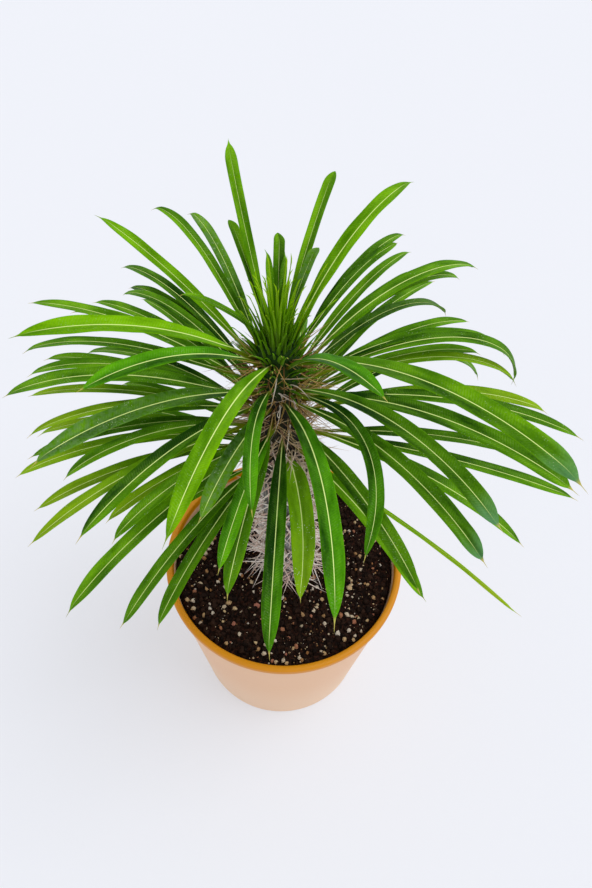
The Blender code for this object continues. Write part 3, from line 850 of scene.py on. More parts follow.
@dataclass
class Needles:
    """A family of spines or dry strands: each array has a row for every one of them."""

    root: Array
    way: Array
    length: Array
    bend: Array
    age: Array
    seed: Array

    def surface(self, radius: float, rows: int, sides: int) -> Patch:
        """Slender curved cones.

        The middle line leaves its root along its way and is carried aside by its bend times its
        length times the square of the share. The radius at the root is the given one times the
        sum of 0.5, 0.3 of the seed and 0.6 of the age, and it falls to nothing as one less the
        share, to the power 0.8.

        Args:
            radius: the radius at the root where that sum is 1.
            rows: rings along each cone.
            sides: corners of each ring.

        Returns:
            The surface, with the marks age, seed and reach.
        """
        count, nothing = len(self.root), np.zeros(3)
        share = np.linspace(0, 0.94, rows)
        run = np.append(share, 1.0)[None, :, None]
        path = (self.way[:, None] * run + self.bend[:, None] * run**2) * self.length[:, None, None]
        middle = self.root[:, None] + path
        first = np.cross(self.way, (0.0, 0.0, 1.0))
        first = first / np.linalg.norm(first, axis=1)[:, None]
        angle = np.linspace(0, FULL_TURN, sides, endpoint=False)[:, None]
        around, _ = turned(first[:, None, None], np.cross(self.way, first)[:, None, None], angle)
        girth = radius * (0.5 + 0.3 * self.seed + 0.6 * self.age)[:, None] * (1 - share) ** 0.8
        rings = middle[:, :-1, None] + around * girth[..., None, None]
        points = np.concatenate([rings.reshape(count, -1, 3), self.root[:, None], middle[:, -1:]], 1)
        cone = Patch.loft(np.zeros((rows, sides, 3)), nothing, nothing)
        faces = np.vstack([cone.quads[:, :3], cone.quads[:, [0, 2, 3]], cone.triangles])
        patch = Patch.repeated(points, faces, {"age": self.age, "seed": self.seed})
        patch.marks["reach"] = np.tile(np.append(np.repeat(share, sides), [0.0, 1.0]), count)
        return patch


@dataclass
class Stem:
    """The leaning, tapered, spiny stem."""

    soil_level: float = 140 * MM
    top: float = 364 * MM
    lean_top: float = 362 * MM
    foot: float = 128 * MM
    radius_soil: float = 17 * MM
    radius_top: float = 10 * MM
    lean_x: tuple[float, float] = (4 * MM, -8 * MM)
    lean_y: float = 2 * MM
    tip_height: float = 7 * MM
    tip_rows: int = 7
    rows: int = 250
    columns: int = 150
    relief: float = 0.22 * MM
    relief_cell: float = 2.2 * MM
    scar_count: int = 78
    scar_first: float = 4 * MM
    scar_rise: float = 2.75 * MM
    scar_height: float = 1.5 * MM
    scar_spread: float = 4.6 * MM
    leaf_cushion: float = 1.3 * MM
    spine_radius: float = 0.55 * MM
    spine_sink: float = 2.2 * MM
    spine_lengths: tuple[float, float] = (25 * MM, 19 * MM)
    spine_lifts: tuple[float, float] = (8, 30)
    spine_seed: int = 11
    cluster: tuple[tuple[float, float], ...] = ((-55, 1.0), (55, 0.95), (-16, 0.68), (20, 0.6))
    spine_clear: float = 5 * MM
    spine_nods: tuple[float, float] = (-30, 30)
    spine_sways: tuple[float, float] = (-16, 16)
    foot_cluster: tuple[float, ...] = (-38.0, 38.0, 0.0, -18.0, 20.0)
    foot_sways: tuple[float, float] = (-18, 18)
    foot_drops_mm: tuple[float, float] = (-1.5, 5.5)
    foot_lifts: tuple[float, float] = (-15, 50)
    foot_lengths_mm: tuple[float, float] = (14, 30)
    old_count: int = 600
    old_heights: tuple[float, float] = (0.24, 0.345)
    old_first: float = 5 * MM
    old_less: float = 12 * MM
    old_crowding: float = 1.6
    old_sides: tuple[float, float] = (48, 86)
    old_lifts: tuple[float, float] = (-42, 62)
    old_lengths_mm: tuple[float, float] = (14, 27)
    strand_count: int = 170
    strand_seed: int = 17
    strand_heights_mm: tuple[float, float] = (262, 352)
    strand_turns: tuple[float, float] = (-75, 75)
    strand_lifts: tuple[float, float] = (-60, 60)
    strand_bend: float = 0.4
    strand_lengths_mm: tuple[float, float] = (11, 24)

    def grown(self, z: Array) -> Array:
        """0 at the soil and 1 at the top of the lean."""
        return (z - self.soil_level) / (self.lean_top - self.soil_level)

    def axis(self, z: Array) -> Array:
        """The middle of the stem at each height: x runs evenly between the ends of the lean."""
        x = self.lean_x[0] + (self.lean_x[1] - self.lean_x[0]) * self.grown(z)
        return np.stack([x, np.full_like(x, self.lean_y), np.asarray(z, float)], -1)

    def middle(self, z: float) -> Array:
        """The middle of the stem at one height."""
        return self.axis(np.array([z]))[0]

    def radius(self, z: Array) -> Array:
        """The plain radius, which tapers evenly from the soil to the top."""
        share = np.abs(np.clip(self.grown(z), -0.6, 1))
        return self.radius_soil + (self.radius_top - self.radius_soil) * share

    def between(self, ends: tuple[float, float], z: Array) -> Array:
        """A measure that runs evenly from its value at the soil to its value at the top."""
        return ends[0] + (ends[1] - ends[0]) * (z - self.soil_level) / (self.top - self.soil_level)

    def scars(self) -> tuple[Array, Array]:
        """Angle and height of each spine cushion: one golden angle and one rise from the last."""
        index = np.arange(self.scar_count)
        return np.radians(index * GOLDEN_ANGLE), self.soil_level + self.scar_first + index * self.scar_rise

    def swell(self, angle: Array, z: Array) -> Array:
        """How much of a cushion stands at each place.

        Args:
            angle: turns round the stem in radians.
            z: heights.

        Returns:
            1 on a cushion, falling as a bell curve of the distance from it along the surface.
        """
        angles, heights = self.scars()
        turn = np.angle(np.exp(1j * np.subtract.outer(angle, angles)))
        apart = np.hypot(turn * self.radius(z)[..., None], np.subtract.outer(z, heights))
        return np.exp(-((apart / self.scar_spread) ** 2)).max(axis=-1)

    def point(self, azimuth: float, z: float, clear: float) -> Array:
        """A point so far clear of the stem's skin.

        Args:
            azimuth: its direction in degrees.
            z: its height.
            clear: its distance outside the skin.

        Returns:
            The point.
        """
        angle, height = np.radians([azimuth]), np.array([z])
        reach = self.radius(height) + self.leaf_cushion * self.swell(angle, height) + clear
        return (self.axis(height) + heading(angle) * reach[:, None])[0]

    def skin(self) -> Patch:
        """The stem's surface: a tapered tube with a cushion under each cluster and a round top.

        Its radius is the plain radius, plus a cushion's height times its bell curve, plus a fine
        random relief. Above the top it closes as a quarter of an ellipse.

        Returns:
            The surface, with the mark scar.
        """
        height = np.linspace(self.foot, self.top, self.rows)
        angle = np.linspace(0, FULL_TURN, self.columns, endpoint=False)
        z, turn = np.meshgrid(height, angle, indexing="ij")
        swell, spread, wrap = self.swell(turn, z), heading(turn), np.sin(turn / 2) ** 2
        relief = value_noise(turn * self.radius_soil, z, self.relief_cell, 4) * wrap
        relief = relief + value_noise(z, -z * 0.3, self.relief_cell, 5) * (1 - wrap)
        reach = self.radius(z) + self.scar_height * swell + self.relief * relief
        lift = np.linspace(0.15, 1.45, self.tip_rows)[:, None]
        close = (np.cos(lift) * reach[-1])[..., None] * spread[:self.tip_rows] + self.middle(self.top)
        close[..., 2] = self.top + self.tip_height * np.sin(lift)
        rings = np.concatenate([self.axis(z) + spread * reach[..., None], close])
        end = self.middle(self.top) + (0, 0, self.tip_height)
        patch = Patch.loft(rings, self.middle(self.foot), end)
        patch.marks = {"scar": np.append(swell, np.zeros(self.tip_rows * self.columns + 2))}
        return patch

    def roots(self, z: Array, around: Array, cushion: Array | float = 0.0) -> Array:
        """Points sunk under the skin, which a cushion carries further out."""
        reach = self.radius(z) + cushion - self.spine_sink
        return self.axis(z) + heading(around) * reach[:, None]

    def spines(self) -> Needles:
        """Every spine.

        Each cushion has two spines that spread sideways and two shorter ones between them. Five
        more stand about each leaf foot, and old ones cross over the stem at all angles.

        Returns:
            The spines, older below.
        """
        draw = np.random.default_rng(self.spine_seed)
        angles, heights = self.scars()
        kept = heights < self.top - self.spine_clear
        spread, share = np.array(self.cluster).T
        z, around = (np.repeat(row[kept], len(spread)) for row in (heights, angles))
        side, share = np.tile(spread, kept.sum()), np.tile(share, kept.sum())
        length = share * self.between(self.spine_lengths, z) * draw.uniform(0.8, 1.15, len(z))
        lift = np.radians(self.between(self.spine_lifts, z) + draw.uniform(*self.spine_nods, len(z)))
        turn = around + np.radians(side + draw.uniform(*self.spine_sways, len(z)))
        own = (z, around + np.radians(side / 9), turn, lift, length)
        families = (own, self.foot_spines(draw), self.old_spines(draw))
        z, around, turn, lift, length = (np.concatenate(parts) for parts in zip(*families))
        bend = draw.normal(0, 0.07, (len(z), 3)) - (0, 0, 0.04)
        return Needles(self.roots(z, around, self.scar_height * self.swell(around, z)),
                       heading(turn, lift), length + self.spine_sink, bend,
                       1 - smooth(*self.old_heights, z), draw.uniform(0, 1, len(z)))

    def foot_spines(self, draw: np.random.Generator) -> tuple[Array, ...]:
        """Five spines about every leaf foot.

        Args:
            draw: the random numbers.

        Returns:
            Height, angle, turn, lift and length of each.
        """
        azimuth, height = (np.repeat(row, len(self.foot_cluster)) for row in (
            [f.azimuth for f in FEET], [f.height_mm * MM for f in FEET]))
        side = np.tile(self.foot_cluster, len(FEET)) + draw.uniform(*self.foot_sways, len(azimuth))
        z = height - draw.uniform(*self.foot_drops_mm, len(azimuth)) * MM
        lift = np.radians(draw.uniform(*self.foot_lifts, len(azimuth)))
        length = draw.uniform(*self.foot_lengths_mm, len(azimuth)) * MM
        return z, np.radians(azimuth + side / 5), np.radians(azimuth + side), lift, length

    def old_spines(self, draw: np.random.Generator) -> tuple[Array, ...]:
        """Old spines that lie close over the stem and cross each other.

        Args:
            draw: the random numbers.

        Returns:
            Height, angle, turn, lift and length of each.
        """
        count = self.old_count
        share = draw.uniform(0, 1, count) ** self.old_crowding
        z = self.soil_level + self.old_first + (self.top - self.soil_level - self.old_less) * share
        around = draw.uniform(0, FULL_TURN, count)
        side = np.radians(draw.uniform(*self.old_sides, count)) * draw.choice([-1, 1], count)
        lift = np.radians(draw.uniform(*self.old_lifts, count))
        return z, around, around + side, lift, draw.uniform(*self.old_lengths_mm, count) * MM

    def strands(self) -> Needles:
        """Dry curled strands, left by fallen leaves, that hang about the upper stem.

        Returns:
            The strands.
        """
        draw, count = np.random.default_rng(self.strand_seed), self.strand_count
        z = draw.uniform(*self.strand_heights_mm, count) * MM
        around = draw.uniform(0, FULL_TURN, count)
        turn = around + np.radians(draw.uniform(*self.strand_turns, count))
        lift = np.radians(draw.uniform(*self.strand_lifts, count))
        bend = draw.normal(0, self.strand_bend, (count, 3)) - heading(around) * 0.3
        length = draw.uniform(*self.strand_lengths_mm, count) * MM
        return Needles(self.roots(z, around), heading(turn, lift), length, bend,
                       draw.uniform(0.4, 0.95, count), draw.uniform(0, 0.8, count))

    def build(self) -> None:
        """Makes the stem, its spines and the dry strands."""
        finish_piece(self.skin().to_object("stem_skin", BarkFinish().build()), ["trunk"])
        wood = SpineFinish().build()
        for name, needles, rows, sides in (("stem_spines", self.spines(), 4, 5),
                                           ("dry_strands", self.strands(), 7, 4)):
            patch = needles.surface(self.spine_radius, rows, sides)
            finish_piece(patch.to_object(name, wood), [])


@dataclass
class LeafMaker:
    """Makes a strap leaf's surface from its row of the table."""

    stem: Stem
    samples: int = 81
    channel: float = 0.24
    flutter: float = 0.05
    stalk_half: float = 1.0 * MM
    lamina: float = 0.5 * MM
    lamina_bulk: float = 0.25 * MM
    stalk_thick: float = 1.9 * MM
    thread_half: float = 0.34 * MM
    hook: float = 1.6 * MM
    twist: float = 9
    ridge: tuple[float, float] = (0.45 * MM, 0.55 * MM)
    groove: tuple[float, float] = (0.16 * MM, 0.3 * MM)
    sunk: float = 2.4 * MM
    sunk_end: float = 3 * MM
    shared_clear: float = 2.5 * MM
    shared_pitch: float = 2.2 * MM
    rib_share: float = 0.062
    rib_least: float = 0.03
    rib_most: float = 0.29
    fullness: float = 1.12
    parallel: float = 0.27
    upper: tuple[float, ...] = (1, 0.985, 0.92, 0.75, 0.5, 0.26, 0.11, 0.05)
    lower: tuple[float, ...] = (0.93, 0.55, 0.2, 0.08)
    tone_marks: tuple[str, ...] = ("dust", "spots", "cool", "straw", "yellow", "emerald")

    def columns(self, step: int) -> tuple[Array, Array]:
        """Where a section's points lie across the blade, and +1 for its upper side, -1 for its lower.

        Args:
            step: 1 for every point, 2 for every other one, and so on.

        Returns:
            Shares of the half width, and sides.
        """
        upper, lower = np.array(self.upper[::step]), np.array(self.lower[::step])
        across = np.concatenate([-upper, [0.0], upper[::-1], lower, [0.0], -lower[::-1]])
        return across, np.repeat([1.0, -1.0], [2 * len(upper) + 1, 2 * len(lower) + 1])

    @staticmethod
    def rows(step: int) -> Array:
        """Where the sections stand: close together at the stalk and at the tip.

        Args:
            step: 1 for every section, 2 for every other one before the tip, and so on.

        Returns:
            Shares of the length.
        """
        shares = np.concatenate([np.linspace(0, 0.2, 8), np.linspace(0.24, 0.72, 15),
                                 np.linspace(0.75, 0.94, 13), (0.95, 0.96, 0.975, 0.99)])
        return np.append(shares[:-4:step], shares[-4:])

    def half_width(self, share: Array, blade: Blade) -> Array:
        """Half the width along a blade.

        From the end of the bare stalk the width closes on its full value as a power of what is
        left of the growing part, then runs parallel. From the blade's shoulder it narrows to
        nothing, as a power of the way, at 96.5% of the length, or 8% beyond the shoulder if
        that is further. A fine thread runs on to the end.

        Args:
            share: shares of the length.
            blade: the leaf.

        Returns:
            Half widths in metres.
        """
        full = self.fullness * blade.width_mm * MM / 2
        left = 1 - np.clip((share - blade.stalk) / (blade.shoulder - self.parallel - blade.stalk), 0, 1)
        grow = 1 - 0.78 * left**2.2
        point = max(0.965, blade.shoulder + 0.08)
        gone = np.clip((share - blade.shoulder) / (point - blade.shoulder), 0, 1)
        fall = (1 - gone**blade.taper) ** 0.75
        thread = np.where(share < 0.9, 0, self.thread_half * (1 - 0.8 * smooth(0.94, 1.0, share)))
        stalk = min(self.stalk_half, 0.6 * full) * (share < 0.5)
        return np.maximum(np.maximum(full * grow * fall * (left < 1), np.minimum(thread, full)), stalk)

    def frames(self, start: Array, blade: Blade, shares: Array) -> tuple[Array, Array, Array]:
        """Middle line, side direction and upper direction of a leaf.

        The leaf's direction has the lift rise - droop * share^curl and the azimuth azimuth +
        sweep * share^1.5, and the middle line is the sum of that direction along the length.

        Args:
            start: where the leaf starts.
            blade: the leaf.
            shares: shares of the length.

        Returns:
            Points, side directions and upper directions.
        """
        fine = np.linspace(0, 1, self.samples)
        lift = np.radians(blade.rise - blade.droop * fine**blade.curl)
        turn = np.radians(blade.azimuth + blade.sweep * fine**1.5)
        along = heading(turn, lift)
        steps = (along[1:] + along[:-1]) / 2 * blade.length_mm * MM / (self.samples - 1)
        path = start + np.vstack([np.zeros(3), np.cumsum(steps, 0)])
        side = np.cross((0, 0, 1), heading(turn))
        roll = math.radians(blade.roll) * np.clip(fine * 4, 0, 1)[:, None]
        rows = (path, *turned(side, np.cross(along, side), roll))
        return tuple(np.stack([np.interp(shares, fine, row[:, k]) for k in range(3)], 1) for row in rows)

    def section(self, share: Array, blade: Blade, step: int,
                draw: np.random.Generator) -> tuple[Array, Array]:
        """Where the points of each section lie.

        Across the blade the middle surface is a shallow channel: it rises as the distance from
        the midrib to the power 1.15, and its margins wave a little. Its thickness is a stalk's at
        the foot and a thin lamina's beyond, with a ridge under the midrib and a groove over it.

        Args:
            share: shares of the length.
            blade: the leaf.
            step: 1 for every point, 2 for every other one, and so on.
            draw: the random numbers.

        Returns:
            Distances aside from the middle line and above it, in metres.
        """
        share, (across, face) = share[:, None], self.columns(step)
        half = self.half_width(share, blade)
        stalk = 1 - smooth(blade.stalk - 0.03, blade.stalk + 0.1, share)
        flat = 1 - stalk
        x = half * across
        edge = np.sqrt(np.clip(1 - np.abs(across) ** (2 + 6 * flat), 0, 1))
        thick = self.lamina + (self.stalk_thick - self.lamina) * stalk + self.lamina_bulk * (share < 0.94)
        thin = np.minimum(thick, (1 + stalk) * half)
        ridge, groove = (depth * np.exp(-((x / width) ** 2)) * flat * (half > MM)
                         for depth, width in (self.ridge, self.groove))
        shell = np.where(face > 0, thin / 2 * edge - groove, -thin / 2 * edge - ridge)
        bowl = self.channel * half * np.abs(across) ** 1.15 * flat
        phases, waves = draw.uniform(0, FULL_TURN, 2), draw.uniform(2.5, 5, 2)
        margin = np.where(across > 0, *(np.sin(wave * FULL_TURN * share + phase)
                                        for wave, phase in zip(waves, phases)))
        return x, shell + (bowl + self.flutter * half * margin * across**2)

    def dress(self, patch: Patch, blade: Blade, share: Array, x: Array, step: int,
              draw: np.random.Generator) -> None:
        """Gives a leaf's surface its map and all that the leaf material reads.

        Args:
            patch: the surface.
            blade: the leaf.
            share: shares of the length of its sections.
            x: distances aside of the sections' points.
            step: 1 for every point, 2 for every other one, and so on.
            draw: the random numbers.
        """
        tone, rows = blade.look.value, np.append(0.0, share)
        across, face = (np.tile(row, (len(rows), 1)) for row in self.columns(step))
        spread = np.append(np.repeat(rows, across.shape[1]), [0.0, 1.0])
        wide, under, aside = (np.append(values[:, ::-1], [0.0, 0.0])
                              for values in (across, face < 0, np.vstack([x[:1], x])))
        length = blade.length_mm * MM
        patch.uv = np.stack([aside * MAP_PER_METRE + 0.5, spread * length * MAP_PER_METRE], -1)
        age = tone.age + draw.uniform(-0.09, 0.09) + tone.fade * (spread - 0.4)
        # Painted light and shade: one half of the folded blade is lighter and the other darker, as light
        # falls on the fold.
        age = age + draw.uniform(-0.13, 0.13) * np.tanh(6 * wide)
        rib = np.clip(self.rib_share * (blade.width_mm - 3), self.rib_least, self.rib_most)
        whole = {name: getattr(tone, name) for name in self.tone_marks}
        whole |= {"rib": rib, "seed": draw.uniform(0, 1)}
        stalk = 1 - smooth(blade.stalk - 0.04, blade.stalk + 0.05, spread)
        patch.marks = {"across": wide, "along": spread, "under": under, "stalk": stalk, "tone": age}
        patch.marks |= {name: np.full(len(spread), value) for name, value in whole.items()}

    def surface(self, start: Array, blade: Blade, seed: int, shift: Array | float = 0.0,
                step: int = 1) -> Patch:
        """The leaf's closed surface: its sections carried along its middle line.

        Args:
            start: where the leaf starts.
            blade: the leaf.
            seed: its random number.
            shift: how far its foot stands from the shared start.
            step: 1 for every section and point, 2 for every other one, and so on.

        Returns:
            The surface, with all that the leaf material reads.
        """
        draw, share = np.random.default_rng(seed), self.rows(step)
        run = np.append(share, 1.0)
        centre, side, upper = self.frames(start, blade, run)
        hook = draw.uniform(-1, 1) * side - 0.8 * upper
        centre = centre + shift * (np.clip(1 - run / 0.3, 0, 1) ** 2)[:, None]
        centre = centre + hook * (self.hook * smooth(0.92, 1.03, run))[:, None]
        twist = np.radians(draw.uniform(-self.twist, self.twist)) * smooth(0.15, 1, share)[:, None]
        side, upper = turned(side[:-1], upper[:-1], twist)
        x, rise = self.section(share, blade, step, draw)
        rings = centre[:-1, None] + side[:, None] * x[..., None] + upper[:, None] * rise[..., None]
        along = np.cross(side[0], upper[0])
        rings = np.concatenate([rings[:1] - along * self.sunk, rings])[:, ::-1]
        patch = Patch.loft(rings, centre[0] - along * self.sunk_end, centre[-1])
        self.dress(patch, blade, share, x, step, draw)
        return patch

    def of_foot(self, place: Foot, number: int) -> list[Patch]:
        """The surfaces of the leaves of one foot, side by side.

        Args:
            place: the foot.
            number: its number, which seeds its leaves.

        Returns:
            One surface per leaf.
        """
        count = len(place.blades)
        aside = heading(math.radians(place.azimuth + 90)) - (0, 0, 1.2)
        patches = []
        for k, blade in enumerate(place.blades):
            lone_clear = (0.42 + abs(math.sin(math.radians(blade.rise)))) * MM
            clear = self.shared_clear if count > 1 else lone_clear
            start = self.stem.point(place.azimuth, place.height_mm * MM, clear)
            shift = (k - (count - 1) / 2) * self.shared_pitch * aside
            patches.append(self.surface(start, blade, 100 * number + k, shift))
        return patches


class Tier(Enum):
    """The storeys of the crown, with the least height of their feet in millimetres."""

    UPPER = 332
    MIDDLE = 305
    LOWER = 0

    @staticmethod
    def at(height_mm: float) -> Tier:
        """The storey of a foot at this height."""
        return next(tier for tier in Tier if height_mm >= tier.value)


@dataclass
class Canopy:
    """The leaves on the stem, grouped by side and storey."""

    maker: LeafMaker
    sides: tuple[str, ...] = ("east", "north_east", "north", "north_west", "west", "south_west",
                              "south", "south_east")

    def group_of(self, place: Foot) -> str:
        """The name of the group that a foot belongs to."""
        side = self.sides[int((place.azimuth + 22.5) // 45) % len(self.sides)]
        return f"leaves_{side}_{Tier.at(place.height_mm).name.lower()}"

    def build(self, material: Material) -> None:
        """Makes one piece per group.

        Args:
            material: the leaf material.
        """
        groups: dict[str, list[tuple[int, Foot]]] = {}
        for number, place in enumerate(FEET, start=1):
            groups.setdefault(self.group_of(place), []).append((number, place))
        for name, members in groups.items():
            patches = [patch for number, place in members for patch in self.maker.of_foot(place, number)]
            piece = Patch.joined(patches).to_object(name, material)
            finish_piece(piece, [f"leaf_{number:02d}" for number, _ in members])


@dataclass
class GrowingTip:
    """The young leaves that stand in the top of the stem."""

    maker: LeafMaker
    seed: int = 3
    first_leaf_seed: int = 9000
    foot_height: float = 3.3 * MM
    ring: float = 5.2 * MM
    young: int = 86
    young_length_mm: float = 40
    young_rise: float = 88
    young_lean: float = 17
    young_width_mm: float = 1.35
    young_drop: float = 5 * MM
    front_share: float = 0.28
    collar: int = 78
    collar_rise: float = 72
    collar_lean: float = 40
    collar_lengths_mm: tuple[float, float] = (11, 19)
    collar_widths_mm: tuple[float, float] = (1.2, 2.0)
    collar_depth: float = 25 * MM

    def start(self, azimuth: float, out: float, height: float) -> Array:
        """A point by the stem's top: so far out from its middle and so far above it."""
        stem = self.maker.stem
        return stem.middle(stem.top) + heading(math.radians(azimuth)) * out + (0, 0, height)

    @staticmethod
    def shoot(*measures: float, look: Look) -> Blade:
        """A leaf that narrows from a third of its length on, from a Blade's first five fields."""
        return Blade(*measures, look=look, stalk=0.02, shoulder=0.32, taper=1.15)

    def blades(self) -> Iterator[tuple[Array, Blade, int]]:
        """Start, shape and step of each young leaf: the tabled ones, then a spiral, then a collar.

        Each leaf of the spiral stands a golden angle on from the last. Outward in the spiral the
        leaves lean out more, and those towards the viewer are shorter and, past the inmost ones,
        darker as painted shade. The collar's short leaves stand round the stem's top and down its sides.

        Yields:
            The start, the leaf, and which of its sections and points are kept.
        """
        for blade in TIP_BLADES:
            yield self.start(blade.azimuth, self.ring, self.foot_height), blade, 1
        draw = np.random.default_rng(self.seed)
        for i in range(self.young):
            share, azimuth = i / (self.young - 1), i * GOLDEN_ANGLE
            away = math.sin(math.radians(azimuth))
            shorter = 1 - self.front_share * (1 - away) * share
            look = DEEP_HEART if i % 4 == 0 else HEART
            # Leaves on the side towards the viewer take a darker look: painted shade.
            if away < 0.1 and share > 0.3:
                look = HEART_FOOT
            shape = self.shoot(
                azimuth, self.young_rise - self.young_lean * share**1.2 + draw.uniform(-7, 7),
                4 + draw.uniform(0, 22),
                (self.young_length_mm + draw.uniform(-17, 10)) * shorter,
                self.young_width_mm + draw.uniform(-0.25, 0.55), look=look)
            out, height = (1 + 8.5 * share) * MM, self.foot_height - self.young_drop * share
            yield self.start(azimuth, out, height), shape, 3
        for i in range(self.collar):
            share, azimuth = i / (self.collar - 1), i * GOLDEN_ANGLE + draw.uniform(-9, 9)
            shape = self.shoot(
                azimuth + draw.uniform(-25, 25),
                self.collar_rise - self.collar_lean * share + draw.uniform(-10, 10), 20,
                draw.uniform(*self.collar_lengths_mm) + 5 * share, draw.uniform(*self.collar_widths_mm),
                look=MATURE)
            out, height = (8.6 + 1.2 * share) * MM, -MM - self.collar_depth * share
            yield self.start(azimuth, out, height), shape, 4

    def build(self, material: Material) -> None:
        """Makes the young leaves as one piece.

        Args:
            material: the leaf material.
        """
        patches = [self.maker.surface(start, blade, self.first_leaf_seed + i, step=step)
                   for i, (start, blade, step) in enumerate(self.blades())]
        finish_piece(Patch.joined(patches).to_object("young_leaves", material), ["crown"])


# The pot and its filling.


@dataclass
class NurseryPot:
    """A tapered round pot with a rolled rim, a step under it and four drain holes."""

    rim_radius: float = 85 * MM
    rim_width: float = 4.6 * MM
    rim_roll: float = 1.2 * MM
    height: float = 150 * MM
    lip_height: float = 6 * MM
    lip_step: float = 2.1 * MM
    lip_fillet: float = 0.8 * MM
    base_radius: float = 66 * MM
    base_hole: float = 8 * MM
    base_round: float = 2 * MM
    wall: float = 3.3 * MM
    floor: float = 4 * MM
    sides: int = 192
    drains: int = 4
    drain_radius: float = 4 * MM
    drain_circle: float = 40 * MM
    drain_sides: int = 24

    def profile(self) -> Array:
        """Radius and height round the wall's section, from the floor's middle to the base's middle.

        The rim's top is half an ellipse, the corners are rounded by short arcs, and the rest is
        straight.

        Returns:
            The points of the section.
        """
        inner, half = self.rim_radius - self.rim_width, self.rim_width / 2
        crest, roll, fillet, bend = 0.8 * half, self.rim_roll, self.lip_fillet, self.base_round
        lip, step, quarter = self.height - self.lip_height, self.rim_radius - self.lip_step, math.pi / 2
        slope = (step - self.base_radius) / lip
        ends = [(self.base_radius + slope * z, z) for z in (lip - 2 * MM, 3 * MM)]
        inside = self.base_radius - self.wall
        return np.vstack([
            np.linspace((self.base_hole, self.floor), (inside - 2 * MM, self.floor), 8),
            np.linspace((inside, self.floor + 2 * MM), (inner, self.height - 3 * MM), 12),
            arc((inner + half, self.height - crest), (half, crest), math.pi, 0, 13),
            arc((self.rim_radius - roll, lip + roll), (roll, roll), 0, -quarter, 5),
            arc((step + fillet, lip - fillet), (fillet, fillet), quarter, math.pi, 4),
            np.linspace(*ends, 24),
            arc((self.base_radius - 1.6 * MM, bend), (bend, bend), 0, -quarter, 5),
            np.linspace((self.base_radius - 4 * MM, 0), (self.base_hole, 0), 8)])

    def shell(self) -> Patch:
        """The section turned round the axis.

        Returns:
            The closed shell.
        """
        profile = self.profile()
        turn = np.linspace(0, FULL_TURN, self.sides, endpoint=False)
        rings = heading(turn) * profile[:, :1, None] + profile[:, 1:, None] * (0, 0, 1)
        return Patch.loft(rings, np.array([0, 0, self.floor]), np.zeros(3))

    def cut_drains(self, pot: bpy.types.Object) -> None:
        """Cuts the round holes through the floor.

        Args:
            pot: the closed shell.
        """
        turn = np.linspace(0, FULL_TURN, self.drain_sides, endpoint=False)
        lift = np.array([0, 0, 2.5 * self.floor])
        for i in range(self.drains):
            middle = heading(math.radians(45 + 360 / self.drains * i)) * self.drain_circle
            ring = middle + heading(turn) * self.drain_radius
            tool = Patch.loft(np.stack([ring - lift, ring + lift]), middle - lift, middle + lift)
            cutter = tool.to_object(f"drain_{i}", pot.data.materials[0])
            cut = pot.modifiers.new("drain", "BOOLEAN")
            cut.object, cut.operation, cut.solver = cutter, "DIFFERENCE", "EXACT"
            graph = bpy.context.evaluated_depsgraph_get()
            mesh = bpy.data.meshes.new_from_object(pot.evaluated_get(graph))
            pot.modifiers.clear()
            pot.data = mesh
            bpy.data.objects.remove(cutter)

    def build(self) -> None:
        """Makes the pot."""
        pot = self.shell().to_object("nursery_pot", PotFinish().build())
        self.cut_drains(pot)
        finish_piece(pot, ["pot"])


